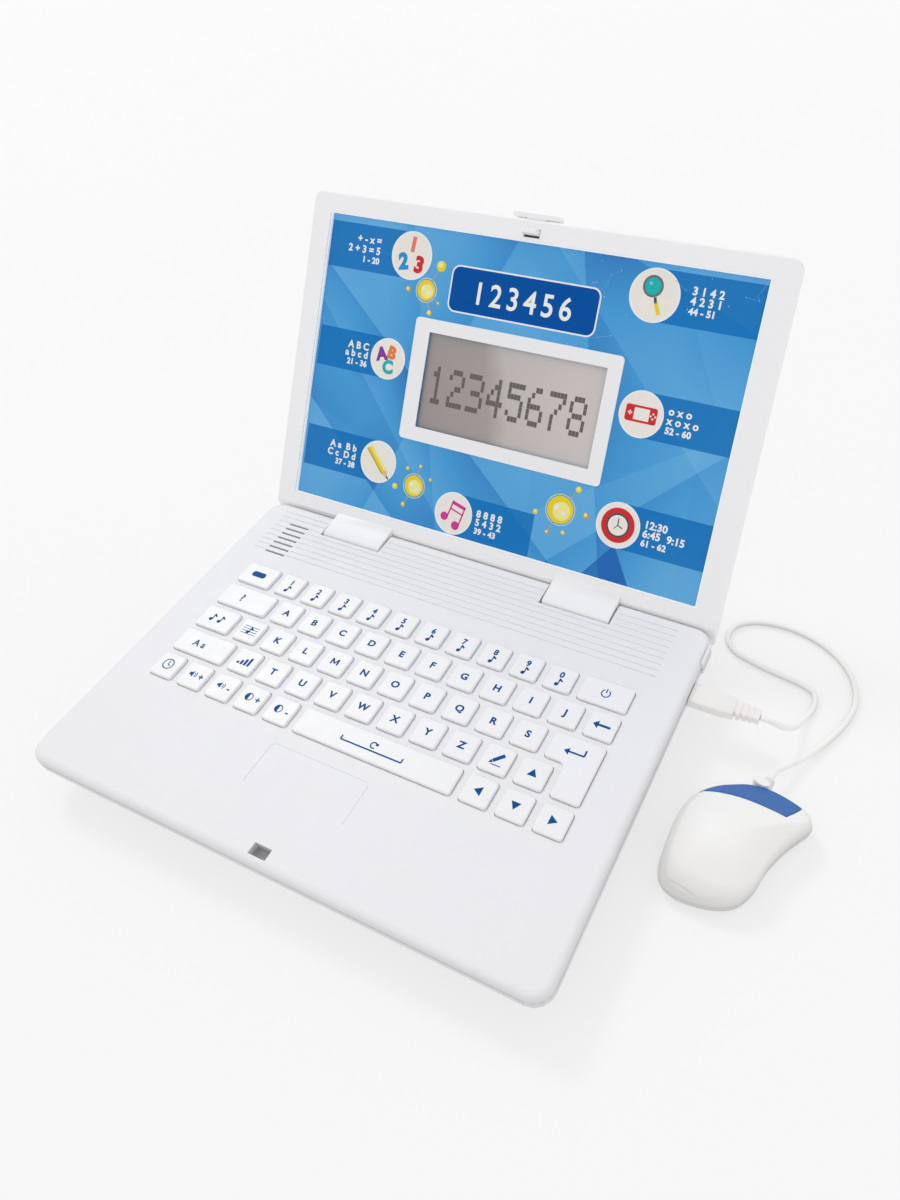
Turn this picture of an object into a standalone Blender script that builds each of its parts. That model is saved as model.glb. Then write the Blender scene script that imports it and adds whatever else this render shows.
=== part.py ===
"""Toy laptop computer with a hinged lid, a sprung keyboard and a plug-in mouse.

Metres, +Z up.  +X is the user's right, -Y is the user's side.  The origin is at the
centre of the base's footprint, on the surface that the feet stand on.
"""
import math

import bmesh
import bpy
from mathutils import Euler, Matrix, Vector

# ---------------------------------------------------------------- driving dimensions
GAP = 0.0003                 # clearance between two pieces that touch

BASE_W = 0.290               # base, side to side
BASE_D = 0.202               # base, front to back
BASE_CORNER_R = 0.010        # plan corners of the base
DECK_Z = 0.028               # top of the deck above the table
DECK_T = 0.0022              # deck thickness
WALL = 0.0022                # side walls of the base shells
EDGE_R = 0.0020              # rounding along the deck's edge
TOP_COVER_H = 0.0052         # height of the top cover's side wall
SIDE_WALL_H = 0.0095         # visible upright wall, deck to tuck-under
UNDERSIDE_INSET = 0.014      # how far the underside tucks in at the front and sides
REAR_INSET = 0.004           # and at the back
FLOOR_PLATE_T = 0.0020       # bottom plate
FOOT_H = 0.0012              # moulded feet
FOOT_R = 0.006
FOOT_EDGE_X = 0.027          # foot centre in from the side
FOOT_EDGE_Y = 0.026          # foot centre in from the front and back

KEY_PITCH_X = 0.01905        # column spacing
KEY_PITCH_Y = 0.0180         # row spacing
KEY_W = 0.0148               # key cap, across
KEY_D = 0.0146               # key cap, front to back
KEY_CHAMFER = 0.0012         # corner of a key cap in plan
KEY_PROUD = 0.0017           # cap above the deck
KEY_TRAVEL = 0.0012          # how far a key goes down
KEY_FLANGE = 0.0009          # retaining lip beyond the cap, and its thickness
KEY_STEM = 0.0040            # square stem under the flange
KEY_WEB_W = 0.0050           # web between keys that share one moulding
KEY_ROW_Y = 0.006            # middle row's centre line
KEY_STAGGER = 0.0115         # left shift of the number row and the K row

MAT_T = 0.0008               # rubber dome mat
BOARD_T = 0.0016             # circuit boards
BOARD_MARGIN = 0.0035        # main board beyond the keys
MAT_INSET = 0.0015           # mat in from the board's edge

BARREL_NOTCH_W = 0.0415      # hinge notches in the base
BARREL_LEFT_X = -0.0772      # middle of the left notch
BARREL_RIGHT_X = 0.0708
BARREL_SIDE_GAP = 0.0009     # knuckle to notch wall, each side
NOTCH_FRONT_GAP = 0.0004     # knuckle to the notch's front wall
NOTCH_REACH = 0.0100         # axis to the notch's front wall
NOTCH_WALL = 0.0020
AXIS_BACK = 0.0063           # hinge axis ahead of the base's rear edge
AXIS_DOWN = 0.0032           # hinge axis below the deck
PIN_R = 0.0020
LID_OPEN_DEG = 125.2         # how far the lid stands open at rest
LID_MORE_DEG = 4.0           # how much further it can lean

LID_T = 0.0100               # lid thickness
LID_WALL = 0.0020
LID_CORNER_R = 0.005
LID_EDGE_R = 0.0020          # rounding along the lid's back
BEZEL_EDGE = 0.0008          # chamfer along the bezel's face
BEZEL_H = 0.0040             # depth of the bezel half
BEZEL_PLATE_T = 0.0022       # bezel face
BEZEL_SIDE = 0.0130          # bezel bar left and right of the panel
BEZEL_TOP = 0.0108           # bezel bar at the latch side
BEZEL_BOTTOM = 0.0148        # hinge axis to the panel opening
PANEL_T = 0.0014
PANEL_LIP = 0.0015           # panel beyond its opening, each side
PANEL_CHAMFER = 0.0010
SCREEN_W = 0.1115            # display window
SCREEN_H = 0.0550
SCREEN_X = 0.0012            # middle of the window
SCREEN_UP = 0.0998           # hinge axis to the middle of the window
SCREEN_BORDER = 0.005        # display module beyond the window
SCREEN_T = 0.0026

LATCH_BAR_W = 0.0280         # thumb bar
LATCH_BAR_T = 0.0024
LATCH_BAR_DEPTH = 0.0056
LATCH_TRAVEL = 0.0010
LATCH_ARM_W = 0.0120
LATCH_ARM_T = 0.0012
HOOK_W = 0.0092
HOOK_T = 0.0030
HOOK_REACH = 0.0045          # hook beyond the bezel face
HOOK_SETBACK = 0.0062        # lid's free edge to the middle of the hook

SPEAKER_X = -0.1152
SPEAKER_Y = 0.0735
SPEAKER_R = 0.0135
SPEAKER_T = 0.0050
SLOT_COUNT = 7
SLOT_PITCH = 0.0040
SLOT_L = 0.0142
SLOT_W = 0.0013

CELL_L = 0.0505              # AA cell
CELL_R = 0.00710
CELL_NUB_R = 0.0027
CELL_NUB_L = 0.0010
CELL_COUNT = 3
CELL_GAP = 0.0006
CONTACT_ROOM = 0.0055        # springs and plates at the cell ends
BOX_WALL = 0.0015            # battery compartment walls
DOOR_T = 0.0018
DOOR_SEAT = 0.0045           # ledge that the battery door closes on
DOOR_TAB = 0.0075            # door beyond the compartment at its screw
DOOR_BOSS_R = 0.0040
DOOR_BOSS_H = 0.0038
SCREW_R = 0.0013
SCREW_POINT_L = 0.0010
SCREW_HEAD_R = 0.0025
SCREW_HEAD_T = 0.0012
CASE_SCREW_L = 0.0145
CASE_BOSS_R = 0.0048
CASE_HEAD_LIFT = 0.0045      # screw head's seat above the inner floor
CASE_SCREW_GRIP = 0.0050     # thickness held between head and upper post
DOOR_POST_H = 0.0105         # post that takes the door's screw
DOOR_SCREW_REACH = 0.0090

PLUG_Y = 0.0640              # socket and plug, along the side
PLUG_Z = 0.0203
PLUG_W = 0.0122
PLUG_T = 0.0056
PLUG_L = 0.0230              # grip, outside the base
RELIEF_L = 0.0125
TONGUE_W = 0.0112
TONGUE_T = 0.0040
TONGUE_L = 0.0110
SOCKET_WALL = 0.0011
PLUG_EDGE_R = 0.0010
TONGUE_EDGE_R = 0.0004
RELIEF_RIBS = 4

CORD_D = 0.0032
CORD_STEP = 0.0078           # spacing of the tube's points

MOUSE_ASIDE = 0.0420            # mouse's middle out from the base's side
MOUSE_Y = 0.0020
MOUSE_TURN_DEG = -10.0
MOUSE_L = 0.0680
MOUSE_W = 0.0550
MOUSE_H = 0.0270
MOUSE_WALL = 0.0020
MOUSE_SPLIT_Z = 0.0062       # joint between the mouse's shells
MOUSE_BOARD_L = 0.0380
MOUSE_BOARD_W = 0.0300
DOME_RIM_H = 0.0012             # upright rim under the mouse's dome
BUTTON_TRAVEL = 0.0008
BUTTON_Z = 0.0135            # lower edge of the blue button
BUTTON_BACK = 0.0110         # button's rear edge on the centre line
BUTTON_SWEEP = 0.0085        # how much further forward that edge is at the sides
GLAND_R = 0.0038
GLAND_L = 0.0030
CORD_IN_Z = 0.0090           # cord's height at the mouse

# ---------------------------------------------------------------- worked-out places
HALF_W = BASE_W / 2
HALF_D = BASE_D / 2
MOUSE_X = HALF_W + MOUSE_ASIDE
SPLIT_Z = DECK_Z - TOP_COVER_H
PLATE_Z = FOOT_H                                   # underside of the bottom plate
INNER_FLOOR_Z = PLATE_Z + FLOOR_PLATE_T
UNDER_DECK_Z = DECK_Z - DECK_T
AXIS_Y = HALF_D - AXIS_BACK
AXIS_Z = DECK_Z - AXIS_DOWN
LID_FACE = AXIS_DOWN + GAP                         # bezel face above the axis, lid closed
LID_BACK = LID_FACE + LID_T
LID_FRONT = -(AXIS_Y + HALF_D - GAP)               # lid's free edge, lid closed
PANEL_FACE = LID_FACE + BEZEL_PLATE_T + GAP
BEZEL_REAR = LID_FACE + BEZEL_H
PANEL_FRONT_Y = LID_FRONT + BEZEL_TOP
PANEL_REAR_Y = -BEZEL_BOTTOM
PANEL_HALF_W = HALF_W - BEZEL_SIDE
NOTCH_FRONT_Y = AXIS_Y - NOTCH_REACH
KNUCKLE_REACH = NOTCH_REACH - NOTCH_FRONT_GAP
NOTCH_FLOOR_Z = AXIS_Z - NOTCH_REACH
BOX_HALF_X = CELL_L / 2 + CONTACT_ROOM / 2
BOX_HALF_Y = (CELL_COUNT * (2 * CELL_R + CELL_GAP) + CELL_GAP) / 2
CELL_Z = INNER_FLOOR_Z + GAP + CELL_R
BOX_TOP_Z = CELL_Z + CELL_R + GAP + BOX_WALL
BOARD_Z = BOX_TOP_Z + GAP
MAT_Z = BOARD_Z + BOARD_T + GAP
FLANGE_TOP_Z = UNDER_DECK_Z - GAP
STEM_FOOT_Z = MAT_Z + MAT_T + GAP + KEY_TRAVEL      # lets a key go down by its travel
CASE_SCREW_X = HALF_W - FOOT_EDGE_X
CASE_SCREW_Y = -HALF_D + FOOT_EDGE_Y + FOOT_R + CASE_BOSS_R + 2 * WALL
CASE_HEAD_SEAT_Z = INNER_FLOOR_Z + CASE_HEAD_LIFT
CASE_SCREW_SPLIT_Z = CASE_HEAD_SEAT_Z + CASE_SCREW_GRIP
DOOR_TOP_Z = PLATE_Z + DOOR_T
DOOR_BOSS_TOP_Z = PLATE_Z + DOOR_POST_H
DOOR_SCREW_TIP_Z = PLATE_Z + DOOR_SCREW_REACH
SCREW_Y = BOX_HALF_Y + DOOR_SEAT + DOOR_BOSS_R / 2
DOOR_REAR_Y = BOX_HALF_Y + DOOR_SEAT + DOOR_TAB
HOOK_Y = LID_FRONT + HOOK_SETBACK
DECK_SLOT_Y = AXIS_Y + HOOK_Y
INNER_TUCK_Z = DECK_Z - SIDE_WALL_H + WALL / 2      # where the tray's inside starts to slope
SOCKET_LOW_Z = PLUG_Z - TONGUE_T / 2 - GAP - SOCKET_WALL
TUCK_SLOPE = UNDERSIDE_INSET / (INNER_TUCK_Z - INNER_FLOOR_Z)
SOCKET_FACE_X = HALF_W - WALL - GAP - max(INNER_TUCK_Z - SOCKET_LOW_Z, 0.0) * TUCK_SLOPE
SOCKET_END_X = HALF_W - TONGUE_L - GAP
BARRELS = (("left", BARREL_LEFT_X), ("right", BARREL_RIGHT_X))

WHITE = (0.83, 0.83, 0.845)
KEY_WHITE = (0.90, 0.90, 0.915)
BLUE = (0.05, 0.17, 0.48)

# The cord lies on the table between the plug and the mouse.  Its route is chosen by hand.
CORD_ROUTE = (
    (0.1866, 0.0641, 0.0196),
    (0.1922, 0.0672, 0.0140),
    (0.1963, 0.0745, 0.0068),
    (0.1990, 0.0840, 0.0028),
    (0.2012, 0.0930, 0.0018),
    (0.1992, 0.1015, 0.0018),
    (0.1905, 0.1050, 0.0018),
    (0.1780, 0.1068, 0.0018),
    (0.1650, 0.1092, 0.0018),
    (0.1530, 0.1130, 0.0018),
    (0.1465, 0.1210, 0.0018),
    (0.1484, 0.1306, 0.0018),
    (0.1565, 0.1366, 0.0018),
    (0.1690, 0.1396, 0.0018),
    (0.1830, 0.1388, 0.0018),
    (0.1965, 0.1344, 0.0018),
    (0.2085, 0.1262, 0.0018),
    (0.2168, 0.1150, 0.0018),
    (0.2200, 0.1020, 0.0018),
    (0.2178, 0.0885, 0.0018),
    (0.2122, 0.0750, 0.0020),
    (0.2050, 0.0615, 0.0036),
    (0.1985, 0.0515, 0.0066),
)


# ---------------------------------------------------------------- modelling helpers
def make_material(name, colour, roughness, metallic=0.0):
    material = bpy.data.materials.new(name)
    material.use_nodes = True
    shader = material.node_tree.nodes["Principled BSDF"]
    shader.inputs["Base Color"].default_value = (*colour, 1.0)
    shader.inputs["Roughness"].default_value = roughness
    shader.inputs["Metallic"].default_value = metallic
    return material


def make_empty(name, location, parent=None, turn=(0.0, 0.0, 0.0)):
    empty = bpy.data.objects.new(name, None)
    empty.location = location
    empty.rotation_euler = Euler(turn)
    empty.parent = parent
    bpy.context.scene.collection.objects.link(empty)
    return empty


def make_object(name, shape, material=None, parent=None, location=(0.0, 0.0, 0.0)):
    """Turn a bmesh into a named object; shape is freed."""
    bmesh.ops.recalc_face_normals(shape, faces=shape.faces)
    mesh = bpy.data.meshes.new(name)
    shape.to_mesh(mesh)
    shape.free()
    mesh.shade_smooth()
    mesh.set_sharp_from_angle(angle=math.radians(35))
    item = bpy.data.objects.new(name, mesh)
    item.location = location
    item.parent = parent
    if material:
        mesh.materials.append(material)
    bpy.context.scene.collection.objects.link(item)
    return item


def boolean(item, operation, shape, label):
    """Add a live Boolean modifier whose operand is a hidden guide object."""
    guide = make_object(f"{item.name}.{label}", shape, parent=item)
    guide.hide_render = True
    guide.display_type = "WIRE"
    modifier = item.modifiers.new(label, "BOOLEAN")
    modifier.operation = operation
    modifier.solver = "EXACT"
    modifier.object = guide
    return item


def corner_points(centre, radius, start, segments):
    """Quarter arc about centre, starting at the angle start."""
    for step in range(segments + 1):
        angle = start + math.pi / 2 * step / segments
        yield (centre[0] + radius * math.cos(angle), centre[1] + radius * math.sin(angle))


def rounded_outline(x0, x1, y0, y1, front_r, rear_r=None, segments=4):
    """Anticlockwise outline of a rectangle with rounded corners."""
    rear_r = front_r if rear_r is None else rear_r
    corners = (
        ((x1 - rear_r, y1 - rear_r), rear_r, 0.0),
        ((x0 + rear_r, y1 - rear_r), rear_r, math.pi / 2),
        ((x0 + front_r, y0 + front_r), front_r, math.pi),
        ((x1 - front_r, y0 + front_r), front_r, math.pi * 1.5),
    )
    return [point for corner in corners for point in corner_points(*corner, segments)]


def chamfered_outline(x0, x1, y0, y1, cut):
    return rounded_outline(x0, x1, y0, y1, cut, segments=1)


def level(outline, z):
    return [Vector((x, y, z)) for x, y in outline]


def add_loft(shape, rings):
    """Skin a closed solid through rings that all have the same number of points."""
    loops = [[shape.verts.new(point) for point in ring] for ring in rings]
    count = len(loops[0])
    for lower, upper in zip(loops, loops[1:]):
        for index in range(count):
            after = (index + 1) % count
            shape.faces.new((lower[index], lower[after], upper[after], upper[index]))
    shape.faces.new(reversed(loops[0]))
    shape.faces.new(loops[-1])


def loft(*rings):
    shape = bmesh.new()
    add_loft(shape, rings)
    return shape


def add_box(shape, x0, x1, y0, y1, z0, z1):
    outline = [(x0, y0), (x1, y0), (x1, y1), (x0, y1)]
    add_loft(shape, (level(outline, z0), level(outline, z1)))


def add_block(shape, x0, x1, y0, y1, z0, z1, cut):
    """Box with chamfered upright corners."""
    outline = chamfered_outline(x0, x1, y0, y1, cut)
    add_loft(shape, (level(outline, z0), level(outline, z1)))


def add_cylinder(shape, centre, radius, length, axis="Z", segments=16):
    """Closed cylinder from centre along +axis."""
    turns = {"X": Matrix.Rotation(math.pi / 2, 4, "Y"), "Y": Matrix.Rotation(-math.pi / 2, 4, "X"),
             "Z": Matrix.Identity(4)}
    direction = {"X": Vector((1, 0, 0)), "Y": Vector((0, 1, 0)), "Z": Vector((0, 0, 1))}[axis]
    place = Matrix.Translation(Vector(centre) + direction * length / 2) @ turns[axis]
    bmesh.ops.create_cone(shape, cap_ends=True, segments=segments, radius1=radius,
                          radius2=radius, depth=length, matrix=place)


def add_side_profile(shape, profile, x0, x1):
    """Solid with a y-z profile, extruded from x0 to x1."""
    add_loft(shape, ([Vector((x0, y, z)) for y, z in profile], [Vector((x1, y, z)) for y, z in profile]))


# ---------------------------------------------------------------- the base's shells
def base_outline(inset, rear_inset=None):
    rear_inset = inset if rear_inset is None else rear_inset
    radius = max(BASE_CORNER_R - inset / 2, BASE_CORNER_R / 2)
    return rounded_outline(-HALF_W + inset, HALF_W - inset, -HALF_D + inset, HALF_D - rear_inset, radius)


def key_columns(first, last, shift=0.0):
    """Middles of the columns from first to last; column 0 is the deck's centre line."""
    return [column * KEY_PITCH_X - shift for column in range(first, last + 1)]


def row_y(row):
    """Centre line of a keyboard row; row 0 is the middle one and row 2 the number row."""
    return KEY_ROW_Y + row * KEY_PITCH_Y


def cap_box(x0, x1, row):
    """Plan limits of a cap whose outer columns are centred on x0 and x1."""
    y = row_y(row)
    return (x0 - KEY_W / 2, x1 + KEY_W / 2, y - KEY_D / 2, y + KEY_D / 2)


def keyboard():
    """Every key: name, list of plan boxes (two for the L-shaped key)."""
    edge = 6 * KEY_PITCH_X
    between = KEY_PITCH_X - KEY_W
    keys = {}
    for letter, x in zip("abcdefghij", key_columns(-4, 5)):
        keys[f"key_{letter}"] = [cap_box(x, x, 1)]
    for letter, x in zip("klmnopqrs", key_columns(-3, 5, KEY_STAGGER)):
        keys[f"key_{letter}"] = [cap_box(x, x, 0)]
    for letter, x in zip("tuvwxyz", key_columns(-3, 3)):
        keys[f"key_{letter}"] = [cap_box(x, x, -1)]
    for number, x in zip("1234567890", key_columns(-4, 5, KEY_STAGGER)):
        keys[f"number_{number}"] = [cap_box(x, x, 2)]
    first_stagger = -4 * KEY_PITCH_X - KEY_STAGGER
    last_stagger = 5 * KEY_PITCH_X - KEY_STAGGER
    wide_left = (-edge - KEY_W / 2, first_stagger - KEY_W / 2 - between)
    wide_right = (last_stagger + KEY_W / 2 + between, edge + KEY_W / 2)
    for name, row in (("game", 2), ("music", 0)):
        keys[f"function_{name}"] = [wide_left + cap_box(0, 0, row)[2:]]
    keys["function_notes"] = [cap_box(first_stagger, first_stagger, 0)]
    for name, row in (("help", 1), ("language", -1)):
        keys[f"function_{name}"] = [cap_box(-edge, -edge + KEY_PITCH_X, row)]
    keys["function_stage"] = [cap_box(-4 * KEY_PITCH_X, -4 * KEY_PITCH_X, -1)]
    bottom_row = ("clock", "louder", "quieter", "darker", "lighter")
    for name, x in zip(bottom_row, key_columns(-6, -2)):
        keys[f"function_{name}"] = [cap_box(x, x, -2)]
    keys["key_power"] = [wide_right + cap_box(0, 0, 2)[2:]]
    keys["key_delete"] = [cap_box(edge, edge, 1)]
    keys["key_write"] = [cap_box(4 * KEY_PITCH_X, 4 * KEY_PITCH_X, -1)]
    upper = wide_right + cap_box(0, 0, 0)[2:]
    column = cap_box(edge, edge, -1)
    keys["key_enter"] = [upper, (column[0], column[1], column[2], upper[3])]
    keys["key_space"] = [cap_box(-KEY_PITCH_X, 3 * KEY_PITCH_X, -2)]
    keys["arrow_up"] = [cap_box(5 * KEY_PITCH_X, 5 * KEY_PITCH_X, -1)]
    for name, x in zip(("left", "down", "right"), key_columns(4, 6)):
        keys[f"arrow_{name}"] = [cap_box(x, x, -2)]
    return keys


def l_outline(boxes, grow, cut):
    """Outline of the L-shaped key: a wide upper box over a column at its right end."""
    (x0, x1, y0, y1), (column_x, _, column_y, _) = boxes
    left, right, top = x0 - grow, x1 + grow, y1 + grow
    step_y, inner_x, bottom = y0 - grow, column_x - grow, column_y - grow
    return [
        (right, bottom + cut), (right, top - cut), (right - cut, top), (left + cut, top),
        (left, top - cut), (left, step_y + cut), (left + cut, step_y), (inner_x, step_y),
        (inner_x, bottom + cut), (inner_x + cut, bottom), (right - cut, bottom),
    ]


def key_outline(boxes, grow, cut=KEY_CHAMFER):
    if len(boxes) == 2:
        return l_outline(boxes, grow, cut)
    x0, x1, y0, y1 = boxes[0]
    return chamfered_outline(x0 - grow, x1 + grow, y0 - grow, y1 + grow, cut)


def notch_limits(centre):
    return centre - BARREL_NOTCH_W / 2, centre + BARREL_NOTCH_W / 2


def base_top_cover(material):
    rim_z = SPLIT_Z + GAP / 2
    cover = make_object("base_top_cover", loft(
        level(base_outline(0.0), rim_z),
        level(base_outline(0.0), DECK_Z - EDGE_R),
        level(base_outline(EDGE_R * 0.3), DECK_Z - EDGE_R * 0.3),
        level(base_outline(EDGE_R), DECK_Z),
        level(base_outline(WALL + EDGE_R), DECK_Z),
    ), material)
    cavity = loft(level(base_outline(WALL), rim_z - DECK_T), level(base_outline(WALL), UNDER_DECK_Z))
    boolean(cover, "DIFFERENCE", cavity, "cavity")

    pockets = bmesh.new()
    for _, centre in BARRELS:
        left, right = notch_limits(centre)
        add_box(pockets, left - NOTCH_WALL, right + NOTCH_WALL, NOTCH_FRONT_Y - NOTCH_WALL,
                HALF_D - WALL / 2, NOTCH_FLOOR_Z - NOTCH_WALL, DECK_Z - DECK_T / 2)
    boolean(cover, "UNION", pockets, "hinge_pockets")
    posts = bmesh.new()
    for side in (-1, 1):
        add_cylinder(posts, (side * CASE_SCREW_X, CASE_SCREW_Y, CASE_SCREW_SPLIT_Z + GAP), CASE_BOSS_R,
                     DECK_Z - DECK_T / 2 - CASE_SCREW_SPLIT_Z - GAP)
    boolean(cover, "UNION", posts, "screw_posts")

    openings = bmesh.new()
    for boxes in keyboard().values():
        outline = key_outline(boxes, GAP)
        add_loft(openings, (level(outline, UNDER_DECK_Z - DECK_T), level(outline, DECK_Z + DECK_T)))
    add_box(openings, -HOOK_W / 2 - GAP, HOOK_W / 2 + GAP, *deck_slot_limits(),
            UNDER_DECK_Z - DECK_T, DECK_Z + DECK_T)
    for index in range(SLOT_COUNT):
        y = SPEAKER_Y + (index - (SLOT_COUNT - 1) / 2) * SLOT_PITCH
        add_box(openings, SPEAKER_X - SLOT_L / 2, SPEAKER_X + SLOT_L / 2, y - SLOT_W / 2,
                y + SLOT_W / 2, UNDER_DECK_Z - DECK_T, DECK_Z + DECK_T)
    for _, centre in BARRELS:
        add_box(openings, *notch_limits(centre), NOTCH_FRONT_Y, HALF_D + WALL, NOTCH_FLOOR_Z,
                DECK_Z + DECK_T)
    boolean(cover, "DIFFERENCE", openings, "openings")

    holes = bmesh.new()
    for _, centre in BARRELS:
        left, right = notch_limits(centre)
        add_cylinder(holes, (left - 2 * NOTCH_WALL, AXIS_Y, AXIS_Z), PIN_R + GAP,
                     right - left + 4 * NOTCH_WALL, "X")
    for side in (-1, 1):
        add_cylinder(holes, (side * CASE_SCREW_X, CASE_SCREW_Y, CASE_SCREW_SPLIT_Z - GAP),
                     SCREW_R + GAP, CASE_SCREW_L / 2)
    boolean(cover, "DIFFERENCE", holes, "round_holes")
    return cover


def deck_slot_limits():
    """Front and rear of the deck's latch slot: the hook, its travel and its clearance."""
    front = DECK_SLOT_Y - HOOK_T / 2 - LATCH_TRAVEL - GAP
    rear = DECK_SLOT_Y + HOOK_T / 2 + LATCH_TRAVEL + GAP
    return front, rear


def base_bottom_cover(material):
    rim_z = SPLIT_Z - GAP / 2
    tuck_z = DECK_Z - SIDE_WALL_H
    tray = make_object("base_bottom_cover", loft(
        level(base_outline(UNDERSIDE_INSET, REAR_INSET), PLATE_Z),
        level(base_outline(0.0), tuck_z),
        level(base_outline(0.0), rim_z),
    ), material)
    cavity = loft(
        level(base_outline(UNDERSIDE_INSET + WALL, REAR_INSET + WALL), INNER_FLOOR_Z),
        level(base_outline(WALL), INNER_TUCK_Z),
        level(base_outline(WALL), rim_z + WALL),
    )
    boolean(tray, "DIFFERENCE", cavity, "cavity")

    feet = bmesh.new()
    for side_x in (-1, 1):
        for side_y in (-1, 1):
            add_cylinder(feet, (side_x * (HALF_W - FOOT_EDGE_X), side_y * (HALF_D - FOOT_EDGE_Y), 0.0),
                         FOOT_R, PLATE_Z + FLOOR_PLATE_T / 2)
    for side in (-1, 1):
        add_cylinder(feet, (side * CASE_SCREW_X, CASE_SCREW_Y, PLATE_Z + FLOOR_PLATE_T / 2), CASE_BOSS_R,
                     CASE_SCREW_SPLIT_Z - PLATE_Z - FLOOR_PLATE_T / 2)
    ledge_x = BOX_HALF_X + DOOR_SEAT + BOX_WALL
    ledge_front, ledge_rear = -BOX_HALF_Y - DOOR_SEAT - BOX_WALL, DOOR_REAR_Y + BOX_WALL
    ledge = [(-ledge_x, ledge_front), (ledge_x, ledge_front), (ledge_x, ledge_rear), (-ledge_x, ledge_rear)]
    outer_x, outer_y = BOX_HALF_X + BOX_WALL, BOX_HALF_Y + BOX_WALL
    upper = [(-outer_x, -outer_y), (outer_x, -outer_y), (outer_x, outer_y), (-outer_x, outer_y)]
    ledge_top = INNER_FLOOR_Z + BOX_WALL
    add_loft(feet, (level(ledge, PLATE_Z + FLOOR_PLATE_T / 2), level(ledge, ledge_top),
                    level(upper, ledge_top), level(upper, BOX_TOP_Z)))
    boolean(tray, "UNION", feet, "feet_and_compartment")
    boss = bmesh.new()
    add_cylinder(boss, (0.0, SCREW_Y, PLATE_Z + FLOOR_PLATE_T), DOOR_BOSS_R + BOX_WALL,
                 DOOR_BOSS_TOP_Z - PLATE_Z - FLOOR_PLATE_T)
    boolean(tray, "UNION", boss, "door_screw_post")

    inside = bmesh.new()
    add_box(inside, -BOX_HALF_X, BOX_HALF_X, -BOX_HALF_Y, BOX_HALF_Y, PLATE_Z + FLOOR_PLATE_T / 2,
            BOX_TOP_Z - BOX_WALL)
    for _, centre in BARRELS:
        left, right = notch_limits(centre)
        add_box(inside, left - NOTCH_WALL - GAP, right + NOTCH_WALL + GAP,
                NOTCH_FRONT_Y - NOTCH_WALL - GAP, HALF_D + WALL, NOTCH_FLOOR_Z - NOTCH_WALL - GAP, DECK_Z)
    add_block(inside, HALF_W - UNDERSIDE_INSET, HALF_W + WALL, PLUG_Y - TONGUE_W / 2 - GAP,
              PLUG_Y + TONGUE_W / 2 + GAP, PLUG_Z - TONGUE_T / 2 - GAP, PLUG_Z + TONGUE_T / 2 + GAP,
              GAP)
    boolean(tray, "DIFFERENCE", inside, "openings")
    recess = bmesh.new()
    add_box(recess, -BOX_HALF_X - DOOR_SEAT, BOX_HALF_X + DOOR_SEAT, -BOX_HALF_Y - DOOR_SEAT, DOOR_REAR_Y,
            -PLATE_Z, DOOR_TOP_Z + GAP)
    boolean(tray, "DIFFERENCE", recess, "door_recess")
    holes = bmesh.new()
    add_cylinder(holes, (0.0, SCREW_Y, PLATE_Z), DOOR_BOSS_R + GAP, DOOR_BOSS_H + GAP)
    for side in (-1, 1):
        add_cylinder(holes, (side * CASE_SCREW_X, CASE_SCREW_Y, -PLATE_Z), SCREW_HEAD_R + GAP,
                     CASE_HEAD_SEAT_Z + PLATE_Z)
    boolean(tray, "DIFFERENCE", holes, "screw_recesses")
    bores = bmesh.new()
    add_cylinder(bores, (0.0, SCREW_Y, PLATE_Z), SCREW_R + GAP, DOOR_SCREW_TIP_Z + GAP - PLATE_Z)
    for side in (-1, 1):
        add_cylinder(bores, (side * CASE_SCREW_X, CASE_SCREW_Y, PLATE_Z), SCREW_R + GAP,
                     CASE_SCREW_SPLIT_Z + GAP)
    boolean(tray, "DIFFERENCE", bores, "screw_bores")
    return tray


def battery_door(material):
    shape = bmesh.new()
    add_box(shape, -BOX_HALF_X - DOOR_SEAT + GAP, BOX_HALF_X + DOOR_SEAT - GAP,
            -BOX_HALF_Y - DOOR_SEAT + GAP, DOOR_REAR_Y - GAP, PLATE_Z, DOOR_TOP_Z)
    door = make_object("battery_door", shape, material)
    boss = bmesh.new()
    add_cylinder(boss, (0.0, SCREW_Y, PLATE_Z + DOOR_T / 2), DOOR_BOSS_R, DOOR_BOSS_H - DOOR_T / 2)
    boolean(door, "UNION", boss, "screw_boss")
    seat = bmesh.new()
    add_cylinder(seat, (0.0, SCREW_Y, PLATE_Z - DOOR_T), SCREW_HEAD_R + GAP,
                 DOOR_T + 2 * SCREW_HEAD_T + GAP)
    boolean(door, "DIFFERENCE", seat, "screw_seat")
    bore = bmesh.new()
    add_cylinder(bore, (0.0, SCREW_Y, PLATE_Z), SCREW_R + GAP, 2 * DOOR_BOSS_H)
    boolean(door, "DIFFERENCE", bore, "screw_bore")
    return door


def circle(radius, count):
    """Plan points around the origin."""
    turns = [2 * math.pi * step / count for step in range(count)]
    return [(radius * math.cos(turn), radius * math.sin(turn)) for turn in turns]


def screw(name, material, x, y, seat_z, tip_z):
    """Screw that points up; its head bears just under seat_z."""
    shape = bmesh.new()
    rings = []
    bearing = seat_z - GAP
    for radius, z in ((SCREW_HEAD_R * 0.8, bearing - SCREW_HEAD_T),
                      (SCREW_HEAD_R, bearing - SCREW_HEAD_T / 2),
                      (SCREW_HEAD_R, bearing), (SCREW_R, bearing), (SCREW_R, tip_z - SCREW_POINT_L),
                      (SCREW_R / 2, tip_z)):
        rings.append(level(circle(radius, 12), z))
    add_loft(shape, rings)
    return make_object(name, shape, material, location=(x, y, 0.0))


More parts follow.
